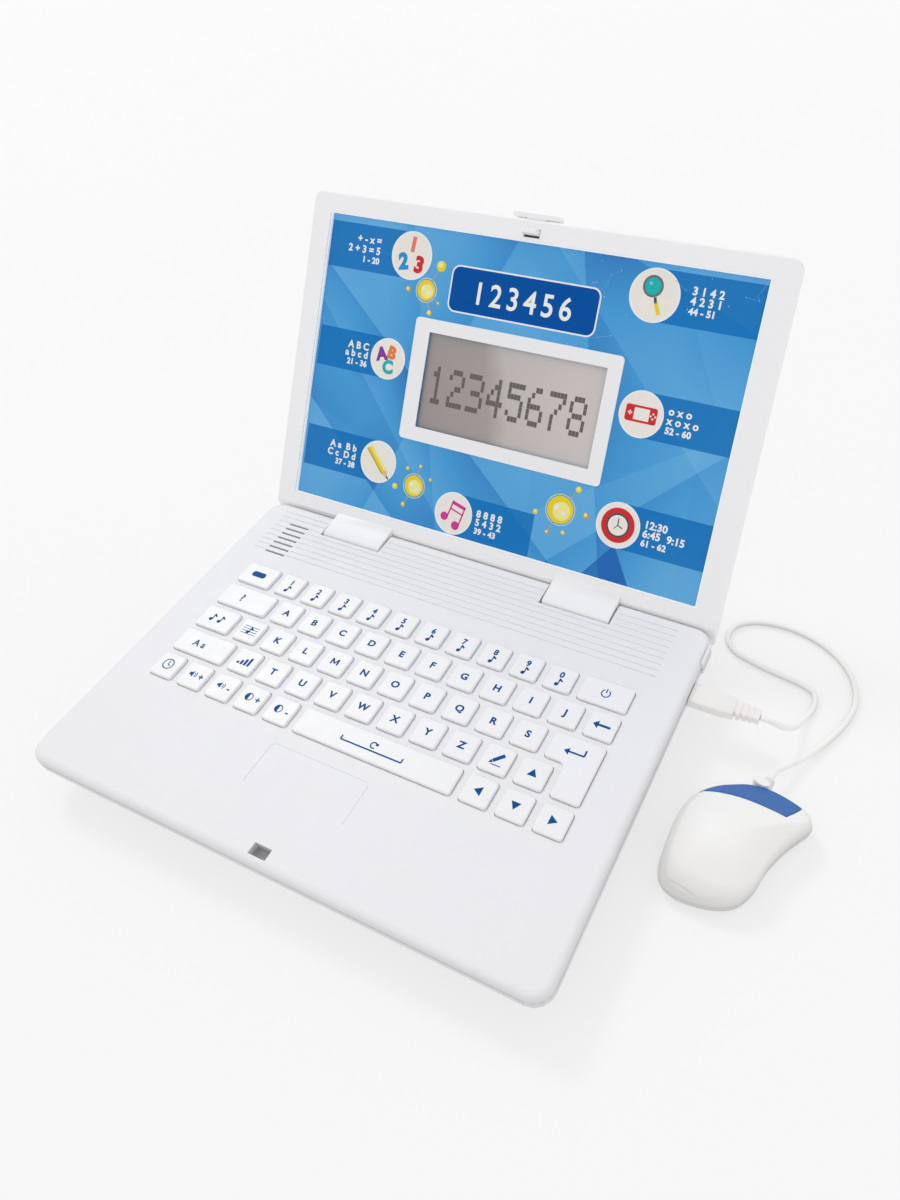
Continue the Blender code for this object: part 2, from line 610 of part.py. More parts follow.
def battery(index, material):
    y = (index - (CELL_COUNT - 1) / 2) * (2 * CELL_R + CELL_GAP)
    shape = bmesh.new()
    side = 1 if index % 2 else -1
    profile = ((0.0, CELL_R), (CELL_L - CELL_NUB_L, CELL_R),
               (CELL_L - CELL_NUB_L, CELL_NUB_R), (CELL_L, CELL_NUB_R))
    rings = []
    for along, radius in profile:
        x = side * (along - CELL_L / 2)
        rings.append([Vector((x, y_off, z_off)) for y_off, z_off in circle(radius, 16)])
    add_loft(shape, rings)
    return make_object(f"battery_{index + 1}", shape, material, location=(0.0, y, CELL_Z))


def inner_boards(board, rubber):
    edge_x = 6 * KEY_PITCH_X + KEY_W / 2 + BOARD_MARGIN
    front = row_y(-2) - KEY_D / 2 - BOARD_MARGIN
    rear = row_y(2) + KEY_D / 2 + BOARD_MARGIN
    shape = bmesh.new()
    add_box(shape, -edge_x, edge_x, front, rear, BOARD_Z, BOARD_Z + BOARD_T)
    make_object("main_board", shape, board)
    shape = bmesh.new()
    add_box(shape, -edge_x + MAT_INSET, edge_x - MAT_INSET, front + MAT_INSET, rear - MAT_INSET,
            MAT_Z, MAT_Z + MAT_T)
    make_object("key_mat", shape, rubber)


def speaker(material):
    shape = bmesh.new()
    top = UNDER_DECK_Z - GAP - SPEAKER_T
    rings = []
    for radius, rise in ((SPEAKER_R * 0.55, 0.0), (SPEAKER_R * 0.6, SPEAKER_T * 0.5),
                         (SPEAKER_R, SPEAKER_T * 0.7), (SPEAKER_R, SPEAKER_T)):
        rings.append(level(circle(radius, 24), rise))
    add_loft(shape, rings)
    make_object("speaker", shape, material, location=(SPEAKER_X, SPEAKER_Y, top))


def mouse_socket(material):
    room_y, room_z = TONGUE_W / 2 + GAP, TONGUE_T / 2 + GAP
    wall = SOCKET_WALL
    shape = bmesh.new()
    add_box(shape, SOCKET_END_X - wall, SOCKET_FACE_X, PLUG_Y - room_y - wall, PLUG_Y + room_y + wall,
            PLUG_Z - room_z - wall, PLUG_Z + room_z + wall)
    socket = make_object("mouse_socket", shape, material)
    room = bmesh.new()
    add_box(room, SOCKET_END_X, SOCKET_FACE_X + wall, PLUG_Y - room_y, PLUG_Y + room_y,
            PLUG_Z - room_z, PLUG_Z + room_z)
    boolean(socket, "DIFFERENCE", room, "room")


# ---------------------------------------------------------------- the keys
def add_key(shape, boxes):
    flange_z = FLANGE_TOP_Z - KEY_FLANGE
    edge = KEY_CHAMFER / 2
    cap_top = DECK_Z + KEY_PROUD
    add_loft(shape, (
        level(key_outline(boxes, KEY_FLANGE), flange_z),
        level(key_outline(boxes, KEY_FLANGE), FLANGE_TOP_Z),
        level(key_outline(boxes, 0.0), FLANGE_TOP_Z),
        level(key_outline(boxes, 0.0), cap_top - edge),
        level(key_outline(boxes, -edge), cap_top),
    ))


def add_stem(shape, boxes):
    """Square stem under the key's middle, reaching into the flange."""
    x0, x1, y0, y1 = boxes[-1]
    middle_x, middle_y = (x0 + x1) / 2, (y0 + y1) / 2
    half = KEY_STEM / 2
    top = FLANGE_TOP_Z - KEY_FLANGE / 2
    add_box(shape, middle_x - half, middle_x + half, middle_y - half, middle_y + half,
            STEM_FOOT_Z, top)


def link_between(first, second):
    """Thin web that joins the flanges of two neighbouring keys; the left one comes first."""
    z0, z1 = FLANGE_TOP_Z - KEY_FLANGE * 3 / 4, FLANGE_TOP_Z - KEY_FLANGE / 4
    ax0, ax1, ay0, ay1 = first
    bx0, bx1, by0, by1 = second
    if bx0 > ax1:
        y = (max(ay0, by0) + min(ay1, by1)) / 2
        return (ax1, bx0, y - KEY_WEB_W / 2, y + KEY_WEB_W / 2, z0, z1)
    left, right = max(ax0, bx0), min(ax1, bx1)
    x = (left + right) / 2
    half = min(KEY_WEB_W / 2, (right - left) / 2 - KEY_FLANGE)
    return (x - half, x + half, min(ay1, by1), max(ay0, by0), z0, z1)


def build_key(name, plans, links, material):
    """One key, or several keys joined by webs; placed by its middle on the deck."""
    x0, x1, y0, y1 = plans[0][-1]
    origin = Vector(((x0 + x1) / 2, (y0 + y1) / 2, DECK_Z))
    caps = bmesh.new()
    for boxes in plans:
        add_key(caps, boxes)
    bmesh.ops.translate(caps, verts=caps.verts, vec=-origin)
    key = make_object(name, caps, material, location=origin)
    if links:
        webs = bmesh.new()
        for link in links:
            add_box(webs, *link)
        bmesh.ops.translate(webs, verts=webs.verts, vec=-origin)
        boolean(key, "UNION", webs, "webs")
    stems = bmesh.new()
    for boxes in plans:
        add_stem(stems, boxes)
    bmesh.ops.translate(stems, verts=stems.verts, vec=-origin)
    boolean(key, "UNION", stems, "stems")


def chain(names, keys):
    """Webs between each key and the next along the list of names."""
    return [link_between(keys[first][0], keys[second][0]) for first, second in zip(names, names[1:])]


def build_keys(material):
    keys = keyboard()
    for name, boxes in keys.items():
        if name.startswith("key_"):
            build_key(name, [boxes], [], material)
    numbers = [name for name in keys if name.startswith("number_")]
    build_key("number_keys", [keys[name] for name in numbers], chain(numbers, keys), material)
    down = ("function_game", "function_help", "function_music", "function_language", "function_clock")
    across = ("function_clock", "function_louder", "function_quieter", "function_darker", "function_lighter")
    links = chain(down, keys) + chain(across, keys)
    links += chain(("function_music", "function_notes"), keys)
    links += chain(("function_language", "function_stage"), keys)
    names = [name for name in keys if name.startswith("function_")]
    build_key("function_keys", [keys[name] for name in names], links, material)
    links = chain(("arrow_left", "arrow_down", "arrow_right"), keys)
    links += chain(("arrow_up", "arrow_down"), keys)
    names = [name for name in keys if name.startswith("arrow_")]
    build_key("arrow_keys", [keys[name] for name in names], links, material)


# ---------------------------------------------------------------- the lid
# Lid pieces are drawn as the lid lies closed, with the hinge axis as origin.
def lid_rear(z):
    """Rear edge of the lid at height z: slanted, so that it clears the base when open."""
    widest = math.radians(LID_OPEN_DEG + LID_MORE_DEG)
    clear = AXIS_BACK + 0.0006
    return (z * math.sin(widest) - clear) / -math.cos(widest)


def lid_outline(inset, z, rear_inset=None):
    rear_inset = inset if rear_inset is None else rear_inset
    radius = max(LID_CORNER_R - inset, LID_CORNER_R / 4)
    return rounded_outline(-HALF_W + inset, HALF_W - inset, LID_FRONT + inset, lid_rear(z) - rear_inset,
                           radius, LID_CORNER_R / 4)


def knuckle_profile():
    """Side view of a hinge knuckle about the axis, with the lid closed.

    The shares are of the knuckle's reach.  The first points are drawn as they stand when the
    lid is open, and turned; the rest join the bezel's face and pass round the pin.
    """
    reach = KNUCKLE_REACH
    inside = LID_FACE + BEZEL_PLATE_T / 2
    turn = Matrix.Rotation(math.radians(LID_OPEN_DEG), 2)
    opened = ((-0.82, -0.30), (-0.97, 0.10), (-0.945, 0.21), (-0.86, 0.37), (-0.68, 0.45), (0.10, 0.53))
    profile = []
    for y, z in opened:
        point = turn @ Vector((reach * y, reach * z))
        profile.append((point.x, point.y))
    profile.append((-reach + GAP, LID_FACE))
    profile.append((-reach - GAP, inside))
    profile.append((lid_rear(inside) - GAP, inside))
    for y, z in ((-0.23, 0.51), (0.17, 0.48), (0.44, 0.27), (0.58, -0.06), (0.70, -0.18)):
        profile.append((reach * y, reach * z))
    return profile


def lid_front_bezel(material, parent):
    bezel = make_object("lid_front_bezel", loft(
        level(lid_outline(BEZEL_EDGE, LID_FACE), LID_FACE),
        level(lid_outline(0.0, LID_FACE + BEZEL_EDGE), LID_FACE + BEZEL_EDGE),
        level(lid_outline(0.0, BEZEL_REAR), BEZEL_REAR),
    ), material, parent)
    hollow = bmesh.new()
    inner = LID_FACE + BEZEL_PLATE_T
    add_loft(hollow, (level(lid_outline(LID_WALL, inner), inner),
                      level(lid_outline(LID_WALL, BEZEL_REAR + LID_WALL), BEZEL_REAR + LID_WALL)))
    boolean(bezel, "DIFFERENCE", hollow, "hollow")
    knuckles = bmesh.new()
    for _, centre in BARRELS:
        left, right = notch_limits(centre)
        add_side_profile(knuckles, knuckle_profile(), left + BARREL_SIDE_GAP, right - BARREL_SIDE_GAP)
    boolean(bezel, "UNION", knuckles, "knuckles")
    openings = bmesh.new()
    add_block(openings, -PANEL_HALF_W, PANEL_HALF_W, PANEL_FRONT_Y, PANEL_REAR_Y, LID_FACE - LID_WALL,
              BEZEL_REAR + LID_WALL, PANEL_CHAMFER)
    add_box(openings, -HOOK_W / 2 - GAP, HOOK_W / 2 + GAP, HOOK_Y - HOOK_T / 2 - GAP,
            HOOK_Y + HOOK_T / 2 + LATCH_TRAVEL + GAP, LID_FACE - LID_WALL, inner + GAP / 2)
    add_box(openings, -LATCH_ARM_W / 2 - GAP, LATCH_ARM_W / 2 + GAP, LID_FRONT - LID_WALL,
            LID_FRONT + LID_WALL + GAP, inner, BEZEL_REAR + LID_WALL / 2)
    boolean(bezel, "DIFFERENCE", openings, "openings")
    bores = bmesh.new()
    for _, centre in BARRELS:
        add_cylinder(bores, (centre - BARREL_NOTCH_W / 2, 0.0, 0.0), PIN_R + GAP, BARREL_NOTCH_W, "X")
    boolean(bezel, "DIFFERENCE", bores, "pin_bores")


def lid_back_cover(material, parent):
    rim = BEZEL_REAR + GAP
    cover = make_object("lid_back_cover", loft(
        level(lid_outline(0.0, rim), rim),
        level(lid_outline(0.0, LID_BACK - LID_EDGE_R), LID_BACK - LID_EDGE_R),
        level(lid_outline(LID_EDGE_R * 0.3, LID_BACK - LID_EDGE_R * 0.3), LID_BACK - LID_EDGE_R * 0.3),
        level(lid_outline(LID_EDGE_R, LID_BACK), LID_BACK),
    ), material, parent)
    hollow = loft(level(lid_outline(LID_WALL, rim - LID_WALL), rim - LID_WALL),
                  level(lid_outline(LID_WALL, LID_BACK - LID_WALL), LID_BACK - LID_WALL))
    boolean(cover, "DIFFERENCE", hollow, "hollow")


def picture_panel(material, parent):
    shape = bmesh.new()
    add_block(shape, -PANEL_HALF_W - PANEL_LIP, PANEL_HALF_W + PANEL_LIP, PANEL_FRONT_Y - PANEL_LIP,
              PANEL_REAR_Y + PANEL_LIP, PANEL_FACE, PANEL_FACE + PANEL_T, PANEL_CHAMFER)
    panel = make_object("picture_panel", shape, material, parent)
    window = bmesh.new()
    add_block(window, SCREEN_X - SCREEN_W / 2, SCREEN_X + SCREEN_W / 2, -SCREEN_UP - SCREEN_H / 2,
              -SCREEN_UP + SCREEN_H / 2, PANEL_FACE - PANEL_T, PANEL_FACE + 2 * PANEL_T, PANEL_CHAMFER / 2)
    boolean(panel, "DIFFERENCE", window, "window")


def display_module(material, parent):
    half_w, half_h = SCREEN_W / 2 + SCREEN_BORDER, SCREEN_H / 2 + SCREEN_BORDER
    face = PANEL_FACE + PANEL_T + GAP
    shape = bmesh.new()
    add_block(shape, SCREEN_X - half_w, SCREEN_X + half_w, -SCREEN_UP - half_h, -SCREEN_UP + half_h,
              face, face + SCREEN_T, PANEL_CHAMFER)
    make_object("display_module", shape, material, parent)


def lid_latch(material, parent):
    """Thumb bar, arm and hook in one piece; it slides towards the hinge."""
    arm_z = LID_FACE + BEZEL_PLATE_T + GAP
    bar_y = LID_FRONT - LATCH_TRAVEL - GAP
    bar_z = LID_FACE + LID_T / 2
    origin = Vector((0.0, HOOK_Y, 0.0))
    shape = bmesh.new()
    add_block(shape, -LATCH_BAR_W / 2, LATCH_BAR_W / 2, bar_y - LATCH_BAR_T, bar_y,
              bar_z - LATCH_BAR_DEPTH / 2, bar_z + LATCH_BAR_DEPTH / 2, 0.0006)
    bmesh.ops.translate(shape, verts=shape.verts, vec=-origin)
    latch = make_object("lid_latch", shape, material, parent, origin)
    arm = bmesh.new()
    add_box(arm, -LATCH_ARM_W / 2, LATCH_ARM_W / 2, bar_y - LATCH_BAR_T / 2, HOOK_Y + HOOK_T / 2 - GAP,
            arm_z, arm_z + LATCH_ARM_T)
    bmesh.ops.translate(arm, verts=arm.verts, vec=-origin)
    boolean(latch, "UNION", arm, "arm")
    hook = bmesh.new()
    tip = LID_FACE - HOOK_REACH
    lower = chamfered_outline(-HOOK_W * 0.42, HOOK_W * 0.42, HOOK_Y - HOOK_T * 0.36,
                              HOOK_Y + HOOK_T * 0.30, 0.0004)
    upper = chamfered_outline(-HOOK_W / 2, HOOK_W / 2, HOOK_Y - HOOK_T / 2, HOOK_Y + HOOK_T / 2, 0.0004)
    add_loft(hook, (level(lower, tip), level(upper, tip + 0.0012), level(upper, arm_z + LATCH_ARM_T / 2)))
    bmesh.ops.translate(hook, verts=hook.verts, vec=-origin)
    boolean(latch, "UNION", hook, "hook")


def hinge_pins(material):
    for side, centre in BARRELS:
        left, right = notch_limits(centre)
        length = right - left + 2 * NOTCH_WALL - 2 * GAP
        shape = bmesh.new()
        add_cylinder(shape, (-length / 2, 0.0, 0.0), PIN_R, length, "X")
        make_object(f"hinge_pin_{side}", shape, material, location=(centre, AXIS_Y, AXIS_Z))


# ---------------------------------------------------------------- plug, cord and mouse
def side_ring(x, width, height, cut):
    """Rounded cross-section of the plug at x, facing along +X."""
    outline = rounded_outline(-width / 2, width / 2, -height / 2, height / 2, cut, segments=2)
    return [Vector((x, y, z)) for y, z in outline]


def mouse_plug(material, parent):
    shape = bmesh.new()
    rings = [
        side_ring(-TONGUE_L + GAP, TONGUE_W, TONGUE_T, TONGUE_EDGE_R),
        side_ring(GAP, TONGUE_W, TONGUE_T, TONGUE_EDGE_R),
        side_ring(GAP, PLUG_W, PLUG_T, PLUG_EDGE_R),
        side_ring(PLUG_L * 0.75, PLUG_W, PLUG_T, PLUG_EDGE_R),
        side_ring(PLUG_L, PLUG_W * 0.86, PLUG_T * 0.94, PLUG_EDGE_R),
    ]
    pitch = RELIEF_L / RELIEF_RIBS
    for rib in range(RELIEF_RIBS):
        width = PLUG_W * (0.74 - 0.06 * rib)
        height = PLUG_T * (0.98 - 0.05 * rib)
        start = PLUG_L + rib * pitch
        rings.append(side_ring(start, CORD_D * 1.35, CORD_D * 1.2, CORD_D * 0.4))
        rings.append(side_ring(start + pitch * 0.4, CORD_D * 1.35, CORD_D * 1.2, CORD_D * 0.4))
        rings.append(side_ring(start + pitch * 0.4, width, height, CORD_D * 0.4))
        rings.append(side_ring(start + pitch, width, height, CORD_D * 0.4))
    add_loft(shape, rings)
    make_object("mouse_plug", shape, material, parent)


def mouse_point(x, y):
    """World place of a point given in the mouse's own frame."""
    turn = math.radians(MOUSE_TURN_DEG)
    return Vector((MOUSE_X + x * math.cos(turn) - y * math.sin(turn),
                   MOUSE_Y + x * math.sin(turn) + y * math.cos(turn), 0.0))


def cord_points():
    """The whole route: out of the relief, over the hand-chosen points, into the mouse."""
    height = Vector((0.0, 0.0, CORD_IN_Z))
    gland = MOUSE_L / 2 + GLAND_L + GAP
    start = Vector((HALF_W + PLUG_L + RELIEF_L + GAP, PLUG_Y, PLUG_Z))
    return ([start] + [Vector(point) for point in CORD_ROUTE]
            + [mouse_point(0.0, gland + 0.006) + height, mouse_point(0.0, gland) + height])


def smooth_points(route, step):
    """Points about step apart on the Catmull-Rom curve through the route."""
    padded = [2 * route[0] - route[1]] + route + [2 * route[-1] - route[-2]]
    dense = []
    for before, start, end, after in zip(padded, padded[1:], padded[2:], padded[3:]):
        for tick in range(24):
            t = tick / 24
            dense.append(0.5 * (2 * start + (end - before) * t
                                + (2 * before - 5 * start + 4 * end - after) * t ** 2
                                + (3 * start - before - 3 * end + after) * t ** 3))
    dense.append(route[-1])
    lengths = [0.0]
    for a, b in zip(dense, dense[1:]):
        lengths.append(lengths[-1] + (b - a).length)
    count = round(lengths[-1] / step)
    points = []
    place = 0
    for index in range(count + 1):
        target = lengths[-1] * index / count
        while place < len(dense) - 2 and lengths[place + 1] < target:
            place += 1
        share = (target - lengths[place]) / (lengths[place + 1] - lengths[place])
        points.append(dense[place].lerp(dense[place + 1], min(max(share, 0.0), 1.0)))
    return points


def mouse_cord(material, parent):
    points = smooth_points(cord_points(), CORD_STEP)
    origin = Vector((HALF_W, PLUG_Y, PLUG_Z))
    curve = bpy.data.curves.new("mouse_cord", "CURVE")
    curve.dimensions = "3D"
    curve.bevel_depth = CORD_D / 2
    curve.bevel_resolution = 2
    curve.use_fill_caps = True
    spline = curve.splines.new("POLY")
    spline.points.add(len(points) - 1)
    for spot, point in zip(spline.points, points):
        spot.co = (*(point - origin), 1.0)
    cord = bpy.data.objects.new("mouse_cord", curve)
    cord.parent = parent
    curve.materials.append(material)
    bpy.context.scene.collection.objects.link(cord)


def mouse_outline(inset, segments=32):
    """Plan of the mouse: a squarish oval, wider at the front, with a slight waist."""
    half_l = MOUSE_L / 2 - inset
    half_w = MOUSE_W / 2 - inset
    power = 2 / 2.7
    points = []
    for step in range(segments):
        angle = 2 * math.pi * step / segments
        across = math.copysign(abs(math.cos(angle)) ** power, math.cos(angle))
        along = math.copysign(abs(math.sin(angle)) ** power, math.sin(angle))
        width = half_w * (0.97 + 0.07 * along - 0.06 * math.exp(-(along / 0.45) ** 2))
        points.append((across * width, along * half_l))
    return points


MOUSE_DOME = ((0.0, 0.0), (0.30, 0.0003), (0.52, 0.0014), (0.70, 0.0036), (0.84, 0.0074), (0.94, 0.0128),
              (1.0, 0.0204))


def dome_rings(base_z, wall):
    """Rings of the mouse's domed top: each step has a height share and an inset."""
    rise = MOUSE_H - MOUSE_SPLIT_Z
    rings = [level(mouse_outline(wall), base_z)]
    for share, inset in MOUSE_DOME:
        height = MOUSE_SPLIT_Z + GAP / 2 + share * (rise - wall) + DOME_RIM_H
        rings.append(level(mouse_outline(wall + inset), height))
    return rings


def button_region(shape, grow, z0):
    """Upright block over the mouse's front; its rear edge is a shallow arc."""
    half = MOUSE_W * 0.7
    steps = 12
    rear = []
    for step in range(steps + 1):
        x = -half + 2 * half * step / steps
        sweep = min((x / (MOUSE_W * 0.45)) ** 2, 1.6)
        rear.append((x, BUTTON_BACK - grow + BUTTON_SWEEP * sweep))
    outline = rear + [(half, MOUSE_L), (-half, MOUSE_L)]
    add_loft(shape, (level(outline, z0), level(outline, MOUSE_H + MOUSE_SPLIT_Z)))


def mouse_shells(white, blue, parent):
    rim = MOUSE_SPLIT_Z + GAP / 2
    top = make_object("mouse_top_shell", loft(*dome_rings(rim, 0.0)), white, parent)
    gland = bmesh.new()
    add_cylinder(gland, (0.0, MOUSE_L / 2 - MOUSE_WALL / 2, CORD_IN_Z), GLAND_R * 0.7,
                 GLAND_L + MOUSE_WALL / 2, "Y", 12)
    boolean(top, "UNION", gland, "cord_gland")
    boolean(top, "DIFFERENCE", loft(*dome_rings(rim - MOUSE_WALL, MOUSE_WALL)), "hollow")
    front = bmesh.new()
    button_region(front, GAP, BUTTON_Z)
    boolean(top, "DIFFERENCE", front, "button_gap")

    button = make_object("mouse_button", loft(*dome_rings(rim, 0.0)), blue, parent)
    boolean(button, "DIFFERENCE", loft(*dome_rings(rim - MOUSE_WALL, MOUSE_WALL)), "hollow")
    kept = bmesh.new()
    button_region(kept, 0.0, BUTTON_Z + BUTTON_TRAVEL + GAP)
    boolean(button, "INTERSECT", kept, "front_part")

    bottom = make_object("mouse_bottom_shell", loft(
        level(mouse_outline(0.0030), 0.0),
        level(mouse_outline(0.0006), 0.0018),
        level(mouse_outline(0.0), MOUSE_SPLIT_Z - GAP / 2),
    ), white, parent)
    hollow = loft(level(mouse_outline(MOUSE_WALL + 0.0006), MOUSE_WALL),
                  level(mouse_outline(MOUSE_WALL), MOUSE_SPLIT_Z + MOUSE_WALL))
    boolean(bottom, "DIFFERENCE", hollow, "hollow")


def mouse_board(material, parent):
    shape = bmesh.new()
    foot = MOUSE_WALL + GAP
    add_box(shape, -MOUSE_BOARD_W / 2, MOUSE_BOARD_W / 2, -MOUSE_BOARD_L / 2, MOUSE_BOARD_L / 2, foot,
            foot + BOARD_T)
    make_object("mouse_board", shape, material, parent)


# ---------------------------------------------------------------- assembly
def build():
    for item in list(bpy.data.objects):
        bpy.data.objects.remove(item, do_unlink=True)
    white = make_material("white_shell", WHITE, 0.42)
    key_white = make_material("key_white", KEY_WHITE, 0.35)
    blue = make_material("button_blue", BLUE, 0.35)
    picture = make_material("picture_blue", (0.10, 0.36, 0.68), 0.30)
    glass = make_material("display_grey", (0.42, 0.39, 0.38), 0.18)
    steel = make_material("steel", (0.62, 0.62, 0.64), 0.30, 1.0)
    board = make_material("board_green", (0.03, 0.20, 0.08), 0.55)
    rubber = make_material("mat_grey", (0.30, 0.31, 0.33), 0.70)
    black = make_material("speaker_black", (0.03, 0.03, 0.035), 0.55)
    cell = make_material("cell_sleeve", (0.12, 0.30, 0.16), 0.35)
    cord = make_material("cord_white", (0.88, 0.87, 0.84), 0.45)
    plug = make_material("plug_white", (0.86, 0.82, 0.79), 0.45)

    base_top_cover(white)
    base_bottom_cover(white)
    battery_door(white)
    screw("battery_door_screw", steel, 0.0, SCREW_Y, PLATE_Z + 2 * SCREW_HEAD_T + GAP, DOOR_SCREW_TIP_Z)
    for side, x in (("left", -CASE_SCREW_X), ("right", CASE_SCREW_X)):
        tip = CASE_HEAD_SEAT_Z + CASE_SCREW_L / 2
        screw(f"case_screw_{side}", steel, x, CASE_SCREW_Y, CASE_HEAD_SEAT_Z, tip)
    for index in range(CELL_COUNT):
        battery(index, cell)
    inner_boards(board, rubber)
    speaker(black)
    mouse_socket(steel)
    build_keys(key_white)

    hinge_pins(steel)
    hinge = make_empty("lid_hinge", (0.0, AXIS_Y, AXIS_Z), turn=(-math.radians(LID_OPEN_DEG), 0.0, 0.0))
    lid_front_bezel(white, hinge)
    lid_back_cover(white, hinge)
    picture_panel(picture, hinge)
    display_module(glass, hinge)
    lid_latch(white, hinge)

    lead = make_empty("mouse_lead", (HALF_W, PLUG_Y, PLUG_Z))
    mouse_plug(plug, lead)
    mouse_cord(cord, lead)
    spot = Vector((MOUSE_X, MOUSE_Y, 0.0)) - Vector(lead.location)
    place = make_empty("mouse_place", spot, lead, (0.0, 0.0, math.radians(MOUSE_TURN_DEG)))
    mouse_shells(white, blue, place)
    mouse_board(board, place)


build()
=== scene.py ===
import math
import random

import bmesh
import bpy
from mathutils import Matrix, Vector


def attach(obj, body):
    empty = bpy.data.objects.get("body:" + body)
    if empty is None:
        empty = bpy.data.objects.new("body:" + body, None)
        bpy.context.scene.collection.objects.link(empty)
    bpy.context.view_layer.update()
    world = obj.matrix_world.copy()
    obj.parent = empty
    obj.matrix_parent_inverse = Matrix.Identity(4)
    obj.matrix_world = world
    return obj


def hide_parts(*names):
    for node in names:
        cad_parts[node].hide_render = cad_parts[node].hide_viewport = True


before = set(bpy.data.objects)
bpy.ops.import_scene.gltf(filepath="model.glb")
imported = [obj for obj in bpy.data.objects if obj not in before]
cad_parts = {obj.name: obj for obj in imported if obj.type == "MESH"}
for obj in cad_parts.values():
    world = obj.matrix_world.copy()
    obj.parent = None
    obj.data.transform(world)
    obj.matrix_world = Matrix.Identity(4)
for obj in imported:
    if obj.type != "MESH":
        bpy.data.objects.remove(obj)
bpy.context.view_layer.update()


# ---------------------------------------------------------------- sizes shared with the solid model
MM = 0.001
GAP = 0.0003                            # clearance between pieces that touch
HALF_W = 0.145
HALF_D = 0.101
DECK_Z = 0.028                          # the deck's face
DECK_T = 0.0022
WALL = 0.0022
BASE_CORNER_R = 0.010
SPLIT_Z = DECK_Z - 0.0052               # joint of the deck and the tray
LATCH_SLOT = (-0.0049, 0.0049, -0.0973, -0.0917)
SLOT_CORNER_R = 0.0003

KEY_PITCH_X = 0.01905
KEY_PITCH_Y = 0.0180
KEY_W = 0.0148
KEY_D = 0.0146
KEY_FLANGE = 0.0009                     # lip that keeps a cap under the deck
KEY_ROW_Y = 0.006                       # middle of the row that begins with K
KEY_STAGGER = 0.0115
KEY_TOP_Z = DECK_Z + 0.0017
FLANGE_Z = DECK_Z - DECK_T - GAP - KEY_FLANGE
KEY_CORNER_R = 0.0017

NOTCH_W = 0.0415                        # hinge pockets in the deck's rear edge
NOTCHES = (-0.0772, 0.0708)
NOTCH_WALL = 0.0020
NOTCH_REACH = 0.0100
NOTCH_EASE = 0.0007

HINGE = Vector((0.0, 0.0947, 0.0248))
LID_OPEN = math.radians(125.2)
LID = Matrix.Translation(HINGE) @ Matrix.Rotation(-LID_OPEN, 4, "X")
LID_FACE = 0.0035                       # heights over the hinge with the lid closed: bezel, panel, back
PANEL_FACE = 0.0060
LID_BACK = 0.0135
DECK_REAR = -0.00624                    # deck's rear edge on the closed lid, from the hinge
DISPLAY_DEPTH = 0.0017                  # display's face behind the panel's face
# Artwork is drawn with x across the lid, y up the open lid and z out of the panel.
PRINT = LID @ Matrix.Translation((0.0, DECK_REAR, PANEL_FACE)) @ Matrix.Rotation(math.pi, 4, "X")
KEY_PRINT = Matrix.Translation((0.0, 0.0, KEY_TOP_Z))

MOUSE = Matrix.Translation((0.1870, 0.0020, 0.0)) @ Matrix.Rotation(math.radians(-10.0), 4, "Z")
MOUSE_SPLIT_Z = 0.0062
MOUSE_NOSE_Y = 0.0340
GLAND_L = 0.0030                        # collar round the cord where it enters the mouse
BUTTON_Z = 0.0135
BUTTON_TRAVEL = 0.0008
PLUG_Y = 0.0640
PLUG_Z = 0.0203
PLUG = Matrix.Translation((HALF_W, PLUG_Y, PLUG_Z))
PLUG_L = 0.0230
PLUG_W = 0.0122
PLUG_T = 0.0056
RELIEF_L = 0.0125
CORD_D = 0.0032
CORD_STEP = 0.0078
CORD_IN_Z = 0.0090


# ---------------------------------------------------------------- sizes of the finished look alone
DECK_EDGE_R = 0.0034                    # rounding along the deck's edge
JOINT_SHADOW_HALF_WIDTH = 0.00035                    # half the width of the painted shadow line along the joint of deck and tray
PICTURE = (-0.1319, 0.1319, 0.00864, 0.17836)
WINDOW = (-0.0544, 0.0568, 0.0662, 0.1210)
# black that the painted wall shade and the painted shadow line at a joint darken towards
PAINTED_SHADE_BLACK = (0.0, 0.0, 0.0)


# ---------------------------------------------------------------- finishes
class Value:
    """A shader socket; Python arithmetic on it adds Math nodes."""

    def __init__(self, finish, socket):
        self.finish = finish
        self.socket = socket

    def maths(self, operation, *values):
        return self.finish.node("ShaderNodeMath", {"operation": operation}, dict(enumerate(values)))

    def __add__(self, other):
        return self.maths("ADD", self, other)

    def __sub__(self, other):
        return self.maths("SUBTRACT", self, other)

    def __mul__(self, other):
        return self.maths("MULTIPLY", self, other)

    def __rsub__(self, other):
        return self.maths("SUBTRACT", other, self)

    def __gt__(self, other):
        return self.maths("GREATER_THAN", self, other)

    def __lt__(self, other):
        return self.maths("LESS_THAN", self, other)

    __radd__ = __add__
    __rmul__ = __mul__


